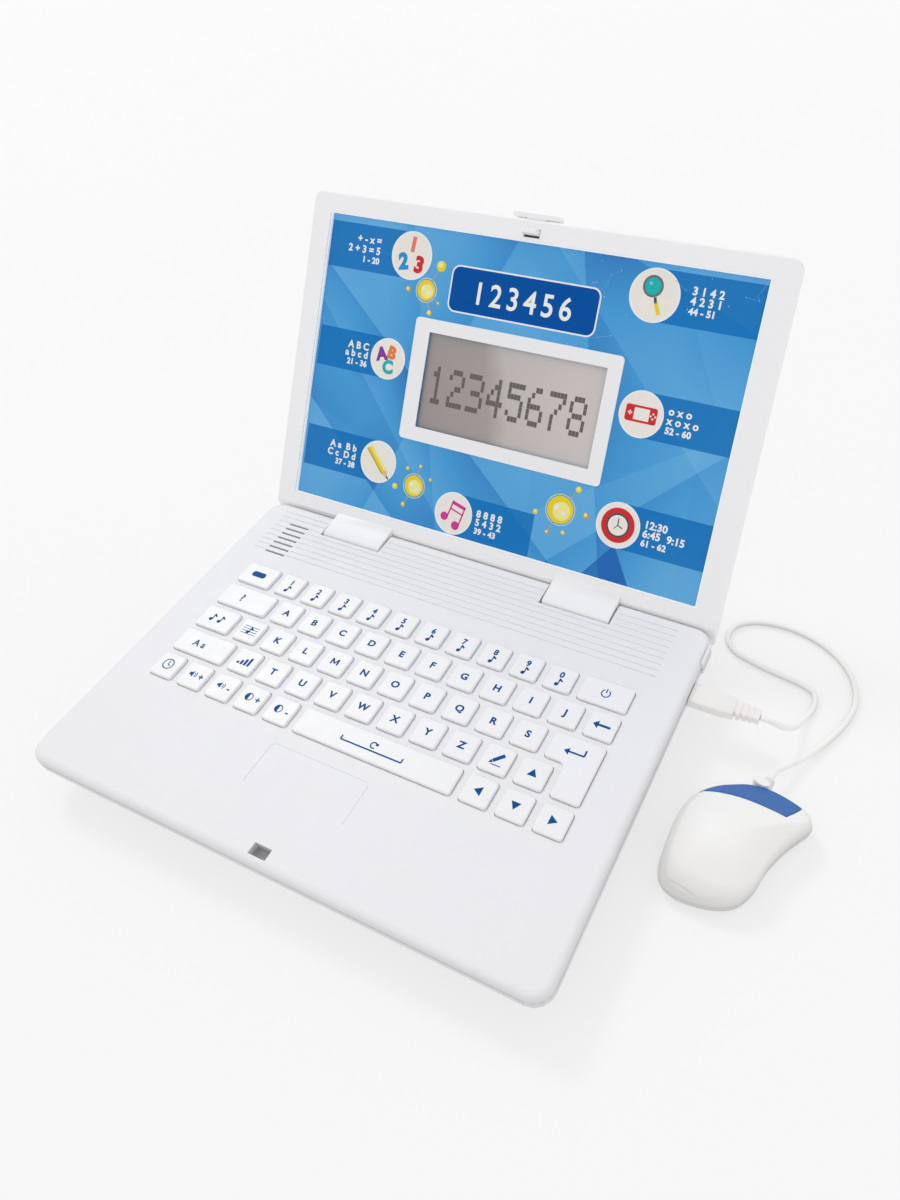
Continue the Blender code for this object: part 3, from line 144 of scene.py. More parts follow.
class Finish:
    """One material: a principled shader and the nodes that feed it."""

    def __init__(self, name, **constants):
        self.material = bpy.data.materials.new(name)
        self.material.use_nodes = True
        self.tree = self.material.node_tree
        self.shader = self.tree.nodes["Principled BSDF"]
        for socket, value in constants.items():
            self.shader.inputs[socket.replace("_", " ")].default_value = value

    def node(self, kind, settings=None, sockets=None, output=0):
        made = self.tree.nodes.new(kind)
        for name, value in (settings or {}).items():
            if name == "stops":
                ramp = made.color_ramp.elements
                while len(ramp) < len(value):
                    ramp.new(1.0)
                for element, (position, colour) in zip(ramp, value):
                    element.position = position
                    element.color = (*colour, 1.0)
            else:
                setattr(made, name, value)
        for name, value in (sockets or {}).items():
            if isinstance(value, Value):
                self.tree.links.new(value.socket, made.inputs[name])
            else:
                made.inputs[name].default_value = value
        return Value(self, made.outputs[output])

    def place(self):
        return self.node("ShaderNodeTexCoord", output="Object")

    def height(self, where):
        return self.node("ShaderNodeSeparateXYZ", sockets={"Vector": where}, output="Z")

    def noise(self, where, scale, detail=2.0):
        return self.node("ShaderNodeTexNoise", sockets={"Vector": where, "Scale": scale, "Detail": detail})

    def mix(self, factor, first, second):
        """Colour between two colours, each a link or a plain red, green and blue."""
        sockets = {0: factor, 6: first, 7: second}
        for index in (6, 7):
            if isinstance(sockets[index], tuple):
                sockets[index] = (*sockets[index], 1.0)
        return self.node("ShaderNodeMix", {"data_type": "RGBA"}, sockets, 2)

    def feed(self, **links):
        for socket, value in links.items():
            self.tree.links.new(value.socket, self.shader.inputs[socket.replace("_", " ")])
        return self

    def bump(self, height, distance, strength=1.0):
        return self.feed(Normal=self.node("ShaderNodeBump", sockets={
            "Height": height, "Distance": distance, "Strength": strength}))


def shade(colour, factor):
    return tuple(channel * factor for channel in colour)


def moulded(name, colour, roughness, grain=2400.0, grain_depth=0.000012, tone=0.03, coat=0.0, wall_shade=None,
            joint=None, glow=0.0):
    """Injection-moulded plastic: a faint flow of tone, spark-eroded grain and handling marks.

    Two heights and an amount, where given, say how painted shade deepens the colour down the walls; the
    joint is the height of the fine painted shadow line between two shells.
    """
    finish = Finish(name, Coat_Weight=coat, Coat_Roughness=0.08, IOR=1.49, Emission_Strength=glow)
    where = finish.place()
    flow = finish.noise(where, 24.0, 3.0)
    handling = finish.noise(where, 160.0, 4.0)
    grains = finish.noise(where, grain, 2.0)
    body = finish.mix(flow, shade(colour, 1.0 - tone), colour)
    # painted shade: the colour darkens down the walls, from the higher height to the lower
    if wall_shade:
        low, high, amount = wall_shade
        depth = finish.node("ShaderNodeMapRange", sockets={
            "Value": finish.height(where), "From Min": low, "From Max": high,
            "To Min": amount, "To Max": 0.0})
        body = finish.mix(depth, body, PAINTED_SHADE_BLACK)
    # painted shadow line: a thin dark band at the joint, where the gap between the shells lies in shade
    if joint:
        height = finish.height(where)
        line = (height > joint - JOINT_SHADOW_HALF_WIDTH) * (height < joint + JOINT_SHADOW_HALF_WIDTH)
        body = finish.mix(line * 0.45, body, PAINTED_SHADE_BLACK)
    finish.feed(Base_Color=body, Roughness=handling * 0.16 + (roughness - 0.08))
    finish.bump(grains, grain_depth, 0.6)
    return finish.material


def printed(name, colour, roughness=0.34):
    """Ink on the picture sheet: a fine dot screen and uneven cover under a clear film."""
    finish = Finish(name, Coat_Weight=0.03, Coat_Roughness=0.15, Specular_IOR_Level=0.04)
    where = finish.place()
    cover = finish.noise(where, 60.0, 2.0)
    screen = finish.noise(where, 3000.0, 1.0)
    finish.feed(Base_Color=finish.mix(cover, shade(colour, 0.94), colour),
                Roughness=screen * 0.1 + (roughness - 0.05))
    return finish.material


def lid_coordinates(finish):
    """Across and up the open lid, in metres, from the deck's rear edge."""
    local = finish.node("ShaderNodeMapping", {"vector_type": "TEXTURE"}, {
        "Vector": finish.place(), "Location": HINGE, "Rotation": (-LID_OPEN, 0.0, 0.0)})
    split = finish.node("ShaderNodeSeparateXYZ", sockets={"Vector": local})
    across = Value(finish, split.socket.node.outputs["X"])
    up = DECK_REAR - Value(finish, split.socket.node.outputs["Y"])
    return across, up


SKY = (0.072, 0.345, 0.69)
DEEP = (0.022, 0.150, 0.48)
PALE = (0.150, 0.450, 0.77)
BAND = (0.003, 0.168, 0.500)
# Caption bands of the background in mm: left, right, low, high.
BANDS = ((-131, -80, 148, 174), (-130, -80, 89.5, 113), (-130, -76, 27.5, 52.5), (74, 131.5, 148.5, 175),
         (80, 132, 89, 113), (80, 132, 28, 53), (-20, 31, 9, 34))
# Facet edges of the background: two points in mm, how much deeper the blue is beyond the edge, and the fade.
FACETS = (
    (-125.0, 145.0, -85.0, 113.0, 0.30, 34.0),
    (-60.0, 8.0, -132.0, 70.0, 0.32, 60.0),
    (44.0, 128.0, 31.0, 178.0, 0.26, 48.0),
    (-8.0, 178.0, -30.0, 128.0, 0.24, 30.0),
    (60.0, 178.0, 132.0, 150.0, 0.22, 40.0),
    (-75.0, 178.0, -30.0, 8.0, 0.16, 22.0),
    (40.0, 8.0, 97.0, 60.0, 0.24, 40.0),
    (-70.0, 60.0, -131.0, 128.0, -0.16, 30.0),
    (132.0, 62.0, 66.0, 128.0, -0.14, 30.0),
)


def picture_sheet():
    """Faceted blue background with darker caption bands, printed under a clear film."""
    finish = Finish("picture_sheet", Coat_Weight=0.03, Coat_Roughness=0.15, Specular_IOR_Level=0.04)
    across, up = lid_coordinates(finish)
    flat = finish.node("ShaderNodeCombineXYZ", sockets={"X": across, "Y": up, "Z": 0.0})
    turned = finish.node("ShaderNodeMapping", sockets={
        "Vector": flat, "Rotation": (0.0, 0.0, 0.55), "Scale": (1.0, 0.62, 1.0)})
    lightness = finish.noise(flat, 14.0, 0.0) * 0.30 + 0.42
    for x0, y0, x1, y1, deeper, reach in FACETS:
        run, rise = x1 - x0, y1 - y0
        length = math.hypot(run, rise)
        beside = (across - x0 * MM) * (rise / length) - (up - y0 * MM) * (run / length)
        fade = finish.node("ShaderNodeMapRange", sockets={
            "Value": beside, "From Min": 0.0, "From Max": reach * MM, "To Min": deeper, "To Max": 0.0})
        lightness = lightness - (beside > 0.0) * fade
    cells = finish.node("ShaderNodeTexVoronoi", {"voronoi_dimensions": "2D"},
                        {"Vector": turned, "Scale": 13.0}, "Color")
    lightness = lightness + finish.node("ShaderNodeSeparateColor", sockets={"Color": cells}) * 0.16
    wedge = (up < 30.0 * MM) * (across - 58.0 * MM > up * 0.75) * (across + up * 0.60 < 98.0 * MM)
    lightness = lightness - wedge * 0.42
    base = finish.node("ShaderNodeValToRGB", {"stops": ((0.05, DEEP), (0.46, SKY), (0.80, PALE))},
                       {"Fac": lightness})
    cover = None
    for left, right, low, high in BANDS:
        inside = (across > left * MM) * (across < right * MM) * (up > low * MM) * (up < high * MM)
        cover = inside if cover is None else cover + inside
    dots = finish.noise(flat, 2600.0, 1.0)
    finish.feed(Base_Color=finish.mix(cover * 0.86, base, BAND), Roughness=dots * 0.12 + 0.22)
    return finish.material


def display_face():
    """Grey reflective dot display: polariser with a painted sheen mottled into its colour, darker on the
    left, with faint dot rows.
    """
    finish = Finish("display_face", Coat_Weight=0.15, Coat_Roughness=0.1, Specular_IOR_Level=0.3)
    across, up = lid_coordinates(finish)
    flat = finish.node("ShaderNodeCombineXYZ", sockets={"X": across, "Y": up, "Z": 0.0})
    sweep = finish.node("ShaderNodeMapRange", sockets={
        "Value": across + up * 0.25, "From Min": -0.050, "From Max": 0.070})
    # painted sheen: a soft mottle of light mixed into the polariser's colour
    painted_sheen = finish.noise(flat, 55.0, 2.0)
    tone = finish.node("ShaderNodeValToRGB", {"stops": (
        (0.0, (0.325, 0.290, 0.275)), (0.50, (0.375, 0.335, 0.320)), (0.60, (0.54, 0.495, 0.475)),
        (1.0, (0.64, 0.58, 0.555)))}, {"Fac": sweep * 0.9 + painted_sheen * 0.1})
    sparkle = finish.noise(flat, 1800.0, 2.0)
    finish.feed(Base_Color=tone, Roughness=sparkle * 0.2 + 0.28)
    return finish.material


def metal(name, colour, roughness):
    """Plated metal with a fine brushed lay."""
    finish = Finish(name, Metallic=1.0)
    lay = finish.node("ShaderNodeMapping", sockets={
        "Vector": finish.place(), "Scale": (60.0, 1500.0, 1500.0)})
    brushing = finish.noise(lay, 1.0, 3.0)
    finish.feed(Base_Color=finish.mix(brushing, shade(colour, 0.86), colour),
                Roughness=brushing * 0.2 + (roughness - 0.1))
    finish.bump(brushing, 0.000008, 0.5)
    return finish.material


def circuit(name, colour):
    """Solder resist over copper tracks."""
    finish = Finish(name, Coat_Weight=0.3, Coat_Roughness=0.2)
    where = finish.place()
    tracks = finish.node("ShaderNodeTexBrick", sockets={
        "Vector": where, "Scale": 260.0, "Color1": (*shade(colour, 0.85), 1.0), "Color2": (*colour, 1.0),
        "Mortar": (0.10, 0.34, 0.14, 1.0), "Mortar Size": 0.03})
    grain = finish.noise(where, 900.0, 2.0)
    finish.feed(Base_Color=tracks, Roughness=grain * 0.2 + 0.4)
    return finish.material


# the base's walls get painted shade below the deck's rounded edge, and a painted shadow line at the joint of
# deck and tray
WHITE = moulded("white_moulding", (0.855, 0.853, 0.870), 0.46,
                wall_shade=(DECK_Z - DECK_EDGE_R, DECK_Z - 0.0001, 0.20), joint=SPLIT_Z)
LID_WHITE = moulded("lid_moulding", (0.925, 0.922, 0.930), 0.42,
                    grain=3000.0, grain_depth=0.000008, tone=0.02)
KEY_WHITE = moulded("key_moulding", (0.890, 0.888, 0.90), 0.36,
                    grain=3200.0, grain_depth=0.000006, tone=0.02)
# the mouse's walls darken towards the floor: painted shade
MOUSE_WHITE = moulded("mouse_moulding", (0.93, 0.92, 0.90), 0.56,
                      grain=3600.0, grain_depth=0.000005, tone=0.02, wall_shade=(0.0010, 0.0170, 0.42))
MOUSE_BLUE = moulded("blue_moulding", (0.030, 0.145, 0.44), 0.42,
                     grain=3600.0, grain_depth=0.000005, tone=0.08)
PLUG_WHITE = moulded("plug_moulding", (0.91, 0.880, 0.862), 0.50,
                     grain=1800.0, grain_depth=0.000016, tone=0.03)
# the cord's underside darkens towards the floor: painted shade
CORD_WHITE = moulded("cord_sheath", (0.96, 0.945, 0.92), 0.48,
                     grain=1400.0, grain_depth=0.000014, tone=0.03, wall_shade=(0.0004, 0.0032, 0.60))
RUBBER = moulded("mat_rubber", (0.30, 0.31, 0.33), 0.70, grain=1500.0, grain_depth=0.00002, tone=0.12)
BLACK = moulded("speaker_frame", (0.03, 0.03, 0.035), 0.55, grain=1200.0, grain_depth=0.00003, tone=0.2)
SLEEVE = moulded("cell_sleeve", (0.12, 0.30, 0.16), 0.32, tone=0.15, coat=0.4)
STEEL = metal("plated_steel", (0.62, 0.62, 0.64), 0.34)
BOARD = circuit("circuit_board", (0.03, 0.20, 0.08))
# the trim glows faintly though it is no lamp: a painted highlight on the rim of the picture's opening
GLOWING_TRIM = moulded("trim_painted_highlight", (0.95, 0.95, 0.95), 0.3, tone=0.01, glow=0.14)
SHEET = picture_sheet()
DISPLAY = display_face()
INKS = {
    "white": printed("ink_white", (0.90, 0.91, 0.92)),
    "cream": printed("ink_cream", (0.88, 0.845, 0.78)),
    "plate": printed("ink_plate_blue", (0.001, 0.085, 0.37)),
    "legend": printed("ink_legend_blue", (0.006, 0.085, 0.31), 0.5),
    "yellow": printed("ink_yellow", (0.86, 0.66, 0.03)),
    "lemon": printed("ink_lemon", (0.90, 0.84, 0.30)),
    "ochre": printed("ink_ochre", (0.55, 0.40, 0.10)),
    "red": printed("ink_red", (0.66, 0.035, 0.04)),
    "coral": printed("ink_coral", (0.80, 0.23, 0.16)),
    "azure": printed("ink_azure", (0.03, 0.30, 0.66)),
    "purple": printed("ink_purple", (0.24, 0.06, 0.36)),
    "orange": printed("ink_orange", (0.82, 0.22, 0.07)),
    "teal": printed("ink_teal", (0.02, 0.48, 0.46)),
    "pink": printed("ink_pink", (0.68, 0.05, 0.34)),
    "slate": printed("ink_slate", (0.07, 0.09, 0.12)),
    "grey": printed("ink_grey", (0.15, 0.19, 0.20)),
    "wood": printed("ink_wood", (0.78, 0.55, 0.30)),
    "mist": printed("ink_mist", (0.26, 0.55, 0.80)),
    "dot": printed("ink_display_dot", (0.155, 0.140, 0.135)),
}


# ---------------------------------------------------------------- shaping
def piece(name, shape, finishes, body, stands_for=(), place=None, crease=35.0, outward=True,
          square=None, curved=None):
    """Turns a bmesh into a finished piece that rides a body.

    Faces square to the axes, or to the frame given as square, stay flat; curved names places that don't.
    """
    if outward:
        bmesh.ops.recalc_face_normals(shape, faces=shape.faces)
    shape.normal_update()
    turn = square.to_3x3().inverted() if square is not None else Matrix.Identity(3)
    flat = []
    for face in shape.faces:
        level = max(abs(value) for value in turn @ face.normal) > 0.99999
        if level and curved:
            level = not curved(square.inverted() @ face.calc_center_median())
        flat.append(level)
    if place is not None:
        bmesh.ops.transform(shape, matrix=place, verts=shape.verts)
    mesh = bpy.data.meshes.new(name)
    shape.to_mesh(mesh)
    shape.free()
    mesh.shade_smooth()
    mesh.set_sharp_from_angle(angle=math.radians(crease))
    for polygon, level in zip(mesh.polygons, flat):
        polygon.use_smooth = not level
    made = bpy.data.objects.new(name, mesh)
    for finish in finishes if isinstance(finishes, list) else [finishes]:
        mesh.materials.append(finish)
    bpy.context.scene.collection.objects.link(made)
    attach(made, body)
    if stands_for:
        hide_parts(*stands_for)
    return made


def rectangle(x0, x1, y0, y1, grow=0.0):
    return [(x0 - grow, y0 - grow), (x1 + grow, y0 - grow), (x1 + grow, y1 + grow), (x0 - grow, y1 + grow)]


def upright(edges):
    """The edges that climb."""
    return [edge for edge in edges if abs(edge.verts[0].co.z - edge.verts[1].co.z) > 1e-6]


def bevel(shape, edges, offset, segments):
    return bmesh.ops.bevel(shape, geom=list(edges), affect="EDGES", offset=offset, segments=segments,
                           profile=0.5, material=-1, clamp_overlap=True)


def slab(shape, corners, z0, z1, radius=0.0, segments=5):
    """Upright prism over a polygon, its upright edges rounded; returns its top face."""
    base = shape.faces.new([shape.verts.new((x, y, z0)) for x, y in corners])
    base.normal_update()
    if base.normal.z > 0:
        base.normal_flip()
    lifted = bmesh.ops.extrude_face_region(shape, geom=[base], use_keep_orig=True)["geom"]
    top = [item for item in lifted if isinstance(item, bmesh.types.BMFace)]
    verts = {vert for face in top for vert in face.verts}
    bmesh.ops.translate(shape, verts=list(verts), vec=(0.0, 0.0, z1 - z0))
    if radius:
        edges = upright({edge for vert in verts for edge in vert.link_edges})
        bevel(shape, edges, radius, segments)
    found = [face for face in shape.faces if all(abs(vert.co.z - z1) < 1e-7 for vert in face.verts)]
    middle = sum((Vector((x, y, z1)) for x, y in corners), Vector()) / len(corners)
    return min(found, key=lambda face: (face.calc_center_median() - middle).length)


def loft(shape, rings):
    """Bridges a run of vertex rings and caps both ends."""
    loops = [[shape.edges.new((a, b)) for a, b in zip(ring, ring[1:] + ring[:1])] for ring in rings]
    for lower, upper in zip(loops, loops[1:]):
        bmesh.ops.bridge_loops(shape, edges=lower + upper)
    shape.faces.new(rings[0])
    shape.faces.new(rings[-1])


def carve(shape, tool, operation="DIFFERENCE"):
    """Cuts or joins one closed shape with another and returns the result."""
    made = []
    for part in (shape, tool):
        bmesh.ops.recalc_face_normals(part, faces=part.faces)
        mesh = bpy.data.meshes.new("working")
        part.to_mesh(mesh)
        part.free()
        made.append(bpy.data.objects.new("working", mesh))
        bpy.context.scene.collection.objects.link(made[-1])
    modifier = made[0].modifiers.new("cut", "BOOLEAN")
    modifier.operation = operation
    modifier.solver = "EXACT"
    modifier.object = made[1]
    result = bmesh.new()
    result.from_object(made[0], bpy.context.evaluated_depsgraph_get())
    for item in made:
        mesh = item.data
        bpy.data.objects.remove(item)
        bpy.data.meshes.remove(mesh)
    bmesh.ops.remove_doubles(result, verts=result.verts, dist=1e-7)
    return result


def refined(node):
    """A merged copy of a CAD node's mesh, with its flat faces whole again."""
    shape = bmesh.new()
    shape.from_mesh(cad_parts[node].data)
    bmesh.ops.remove_doubles(shape, verts=shape.verts, dist=1e-6)
    bmesh.ops.dissolve_limit(shape, angle_limit=math.radians(0.5), verts=shape.verts, edges=shape.edges)
    return shape


def sharp_edges(shape, angle=40.0, test=None):
    limit = math.radians(angle)
    return [edge for edge in shape.edges if len(edge.link_faces) == 2 and edge.calc_face_angle(0.0) > limit
            and (test is None or test(edge))]


def bend(before, start, end, after, t):
    """Point at t between start and end on the Catmull-Rom curve through four points."""
    return 0.5 * (2 * start + (end - before) * t + (2 * before - 5 * start + 4 * end - after) * t ** 2
                  + (3 * start - before - 3 * end + after) * t ** 3)


# ---------------------------------------------------------------- flat artwork
class Artwork:
    """Flat shapes in several inks; a thin Solidify gives each its film of ink."""

    LAYER = 0.00004
    FILM = 0.00006

    def __init__(self, *inks):
        self.shape = bmesh.new()
        self.inks = list(inks)

    def paint(self, faces, ink, layer):
        height = layer * self.LAYER
        for face in faces:
            face.material_index = self.inks.index(ink)
            face.normal_update()
            if face.normal.z < 0:
                face.normal_flip()
        for vert in {vert for face in faces for vert in face.verts}:
            vert.co.z = height

    def area(self, points, ink, layer):
        face = self.shape.faces.new([self.shape.verts.new((x * MM, y * MM, 0.0)) for x, y in points])
        self.paint([face], ink, layer)

    def box(self, x0, x1, y0, y1, ink, layer, radius=0.0):
        points = rectangle(x0, x1, y0, y1)
        if radius:
            points = []
            for x, y, start in ((x1 - radius, y1 - radius, 0), (x0 + radius, y1 - radius, 90),
                                (x0 + radius, y0 + radius, 180), (x1 - radius, y0 + radius, 270)):
                for step in range(7):
                    angle = math.radians(start + 15 * step)
                    points.append((x + radius * math.cos(angle), y + radius * math.sin(angle)))
        self.area(points, ink, layer)

    def disc(self, x, y, radius, ink, layer, segments=40):
        made = bmesh.ops.create_circle(self.shape, cap_ends=True, segments=segments, radius=radius * MM,
                                       matrix=Matrix.Translation((x * MM, y * MM, 0.0)))
        self.paint({face for vert in made["verts"] for face in vert.link_faces}, ink, layer)

    def arc(self, x, y, radius, width, ink, layer, start=0.0, sweep=360.0, segments=40):
        """Ring or part of one, as a strip of short faces."""
        turns = [math.radians(start + sweep * step / segments) for step in range(segments + 1)]
        faces = []
        for first, second in zip(turns, turns[1:]):
            corners = [(radius - width / 2, first), (radius + width / 2, first),
                       (radius + width / 2, second), (radius - width / 2, second)]
            faces.append(self.shape.faces.new([self.shape.verts.new((
                (x + r * math.cos(a)) * MM, (y + r * math.sin(a)) * MM, 0.0)) for r, a in corners]))
        self.paint(faces, ink, layer)
        verts = list({v for face in faces for v in face.verts})
        bmesh.ops.remove_doubles(self.shape, verts=verts, dist=1e-7)

    def line(self, points, width, ink, layer):
        for (x0, y0), (x1, y1) in zip(points, points[1:]):
            along = Vector((x1 - x0, y1 - y0)).normalized() * width / 2
            side = Vector((-along.y, along.x))
            self.area([(x0 - side.x, y0 - side.y), (x1 - side.x, y1 - side.y),
                       (x1 + side.x, y1 + side.y), (x0 + side.x, y0 + side.y)], ink, layer)

    def text(self, words, x, y, size, ink, layer, weight=0.0, turn=0.0, align="CENTER", stretch=1.0,
             spacing=1.0):
        """Letters or figures; size is the height of a capital, which is 0.73 of the font's own size."""
        curve = bpy.data.curves.new("figures", "FONT")
        curve.body = words
        curve.size = size * MM / 0.73
        curve.offset = weight * MM
        curve.space_character = spacing
        curve.align_x = align
        curve.resolution_u = 4
        figures = bpy.data.objects.new("figures", curve)
        bpy.context.scene.collection.objects.link(figures)
        flat = bpy.data.meshes.new_from_object(figures.evaluated_get(bpy.context.evaluated_depsgraph_get()))
        place = (Matrix.Translation((x * MM, y * MM, 0.0)) @ Matrix.Rotation(math.radians(turn), 4, "Z")
                 @ Matrix.Diagonal((stretch, 1.0, 1.0, 1.0))
                 @ Matrix.Translation((0.0, -size * MM / 2, 0.0)))
        flat.transform(place)
        before = set(self.shape.faces)
        self.shape.from_mesh(flat)
        self.paint([face for face in self.shape.faces if face not in before], ink, layer)
        bpy.data.objects.remove(figures)
        bpy.data.curves.remove(curve)
        bpy.data.meshes.remove(flat)

    def done(self, name, body, place):
        inks = [INKS[ink] for ink in self.inks]
        made = piece(name, self.shape, inks, body, place=place, outward=False)
        film = made.modifiers.new("film", "SOLIDIFY")
        film.thickness = self.FILM
        film.offset = -1.0
        return made


# ---------------------------------------------------------------- camera, floor and light
def camera():
    """Looks down at the keyboard from the front right, turned a little about its own axis."""
    azimuth, tilt, roll = math.radians(30.17), math.radians(44.29), math.radians(-6.23)
    eye = Matrix.Translation((0.22833, -0.19850, 0.39798))
    level = Vector((-math.sin(azimuth), math.cos(azimuth), 0.0))
    forward = level * math.cos(tilt) - Vector((0.0, 0.0, math.sin(tilt)))
    level_right = Vector((math.cos(azimuth), math.sin(azimuth), 0.0))
    level_up = level_right.cross(forward)
    right = level_right * math.cos(roll) + level_up * math.sin(roll)
    up = level_up * math.cos(roll) - level_right * math.sin(roll)
    data = bpy.data.cameras.new("view")
    data.lens = 27.3
    data.sensor_width = 36.0
    data.shift_x = -0.0869
    data.shift_y = -0.0471
    data.clip_start = 0.01
    made = bpy.data.objects.new("view", data)
    made.matrix_world = eye @ Matrix((right, up, -forward)).transposed().to_4x4()
    bpy.context.scene.collection.objects.link(made)
    bpy.context.scene.camera = made


def soft_light(name, direction, power, spread):
    """Far, wide light whose rays run along the direction."""
    data = bpy.data.lights.new(name, "SUN")
    data.energy = power
    data.angle = math.radians(spread)
    lamp = bpy.data.objects.new(name, data)
    lamp.rotation_euler = Vector(direction).to_track_quat("-Z", "Y").to_euler()
    bpy.context.scene.collection.objects.link(lamp)


def studio():
    """Pale lit table under an even sky and one soft sun; the table's own light keeps its shadows faint."""
    shape = bmesh.new()
    bmesh.ops.create_grid(shape, x_segments=8, y_segments=8, size=20.0)
    mesh = bpy.data.meshes.new("floor")
    shape.to_mesh(mesh)
    shape.free()
    floor = bpy.data.objects.new("floor", mesh)
    floor.location = (0.0, 0.0, -0.0002)
    finish = Finish("pale_floor", Roughness=0.9, Emission_Strength=0.545)
    dust = finish.noise(finish.place(), 3.0, 2.0)
    finish.feed(Base_Color=finish.mix(dust, (0.390, 0.390, 0.389), (0.396, 0.396, 0.395)),
                Emission_Color=finish.mix(dust, (0.99, 0.99, 0.99), (1.0, 1.0, 1.0)))
    mesh.materials.append(finish.material)
    bpy.context.scene.collection.objects.link(floor)
    world = bpy.data.worlds.new("studio")
    world.use_nodes = True
    sky = world.node_tree.nodes["Background"]
    sky.inputs["Color"].default_value = (0.99, 0.992, 1.0, 1.0)
    sky.inputs["Strength"].default_value = 0.87
    bpy.context.scene.world = world
    soft_light("key_light", (0.62, -0.42, -0.80), 0.52, 14.0)
    bpy.context.scene.view_settings.view_transform = "Standard"


# ---------------------------------------------------------------- the cord
# The cord's centreline between its two ends, given point by point.
CORD_ROUTE = (
    (0.1866, 0.0641, 0.0196),
    (0.1922, 0.0672, 0.0140),
    (0.1963, 0.0745, 0.0068),
    (0.1990, 0.0840, 0.0028),
    (0.2012, 0.0930, 0.0018),
    (0.1992, 0.1015, 0.0018),
    (0.1905, 0.1050, 0.0018),
    (0.1780, 0.1068, 0.0018),
    (0.1650, 0.1092, 0.0018),
    (0.1530, 0.1130, 0.0018),
    (0.1465, 0.1210, 0.0018),
    (0.1484, 0.1306, 0.0018),
    (0.1565, 0.1366, 0.0018),
    (0.1690, 0.1396, 0.0018),
    (0.1830, 0.1388, 0.0018),
    (0.1965, 0.1344, 0.0018),
    (0.2085, 0.1262, 0.0018),
    (0.2168, 0.1150, 0.0018),
    (0.2200, 0.1020, 0.0018),
    (0.2178, 0.0885, 0.0018),
    (0.2122, 0.0750, 0.0020),
    (0.2050, 0.0615, 0.0036),
    (0.1985, 0.0515, 0.0066),
)


def smooth_points(route, step):
    """Points about step apart on the Catmull-Rom curve through the route."""
    padded = [2 * route[0] - route[1]] + route + [2 * route[-1] - route[-2]]
    dense = []
    for before, start, end, after in zip(padded, padded[1:], padded[2:], padded[3:]):
        for tick in range(24):
            dense.append(bend(before, start, end, after, tick / 24))
    dense.append(route[-1])
    lengths = [0.0]
    for a, b in zip(dense, dense[1:]):
        lengths.append(lengths[-1] + (b - a).length)
    count = round(lengths[-1] / step)
    points = []
    place = 0
    for index in range(count + 1):
        target = lengths[-1] * index / count
        while place < len(dense) - 2 and lengths[place + 1] < target:
            place += 1
        share = (target - lengths[place]) / (lengths[place + 1] - lengths[place])
        points.append(dense[place].lerp(dense[place + 1], min(max(share, 0.0), 1.0)))
    return points, lengths[-1]


def mouse_cord():
    """Sheath from the strain relief to the mouse; returns it with its exit and its length."""
    gland_end = MOUSE_NOSE_Y + GLAND_L + GAP
    start = Vector((HALF_W + PLUG_L + RELIEF_L + GAP, PLUG_Y, PLUG_Z))
    end = [MOUSE @ Vector((0.0, gland_end + ahead, CORD_IN_Z)) for ahead in (0.006, 0.0)]
    route = [start] + [Vector(point) for point in CORD_ROUTE] + end
    points, length = smooth_points(route, CORD_STEP / 3)
    curve = bpy.data.curves.new("cord_sheath", "CURVE")
    curve.dimensions = "3D"
    curve.bevel_depth = CORD_D / 2
    curve.bevel_resolution = 4
    curve.use_fill_caps = True
    spline = curve.splines.new("POLY")
    spline.points.add(len(points) - 1)
    for spot, point in zip(spline.points, points):
        spot.co = (*point, 1.0)
    spline.use_smooth = True
    sheath = bpy.data.objects.new("cord_sheath", curve)
    curve.materials.append(CORD_WHITE)
    bpy.context.scene.collection.objects.link(sheath)
    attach(sheath, "mouse_lead")
    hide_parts("mouse_cord")
    return sheath, start, length


def plug_section(shape, x, width, height):
    """Ring of vertices round a section with rounded corners, sixteen in all."""
    corner = min(width, height) * 0.2
    across, up = width / 2 - corner, height / 2 - corner
    ring = []
    for y, z, first in ((across, up, 0), (-across, up, 90), (-across, -up, 180), (across, -up, 270)):
        for step in range(4):
            angle = math.radians(first + 30 * step)
            ring.append(shape.verts.new((x, y + corner * math.cos(angle), z + corner * math.sin(angle))))
    return ring


def plug():
    """Boxy grip with a ribbed strain relief in one moulding, and the metal tongue."""
    sections = [(GAP, PLUG_W, PLUG_T), (PLUG_L * 0.74, PLUG_W, PLUG_T), (PLUG_L, 0.0106, 0.0053)]
    ribs = 4
    pitch = RELIEF_L / ribs
    for rib in range(ribs):
        start = PLUG_L + rib * pitch
        width, height = 0.0092 - 0.0007 * rib, 0.0054 - 0.0003 * rib
        sections += [(start + 0.0001, 0.0066, 0.0044), (start + pitch * 0.38, 0.0066, 0.0044),
                     (start + pitch * 0.42, width, height), (start + pitch, width - 0.0003, height)]
    shape = bmesh.new()
    loft(shape, [plug_section(shape, *section) for section in sections])
    bevel(shape, sharp_edges(shape, 50.0), 0.00025, 2)
    moulding = piece("plug_grip", shape, PLUG_WHITE, "mouse_lead", ["mouse_plug"], PLUG)
    shape = bmesh.new()
    slab(shape, rectangle(-0.0110 + GAP, 0.0002, -0.0056, 0.0056), -0.0020, 0.0020, 0.0004, 2)
    piece("plug_tongue", shape, STEEL, "mouse_lead", place=PLUG)
    return moulding


# ---------------------------------------------------------------- the keyboard
def cap_box(x0, x1, row):
    """Limits of a cap whose first and last columns stand at x0 and x1."""
    y = KEY_ROW_Y + row * KEY_PITCH_Y
    return (x0 - KEY_W / 2, x1 + KEY_W / 2, y - KEY_D / 2, y + KEY_D / 2)


def columns(first, last, shift=0.0):
    return [column * KEY_PITCH_X - shift for column in range(first, last + 1)]


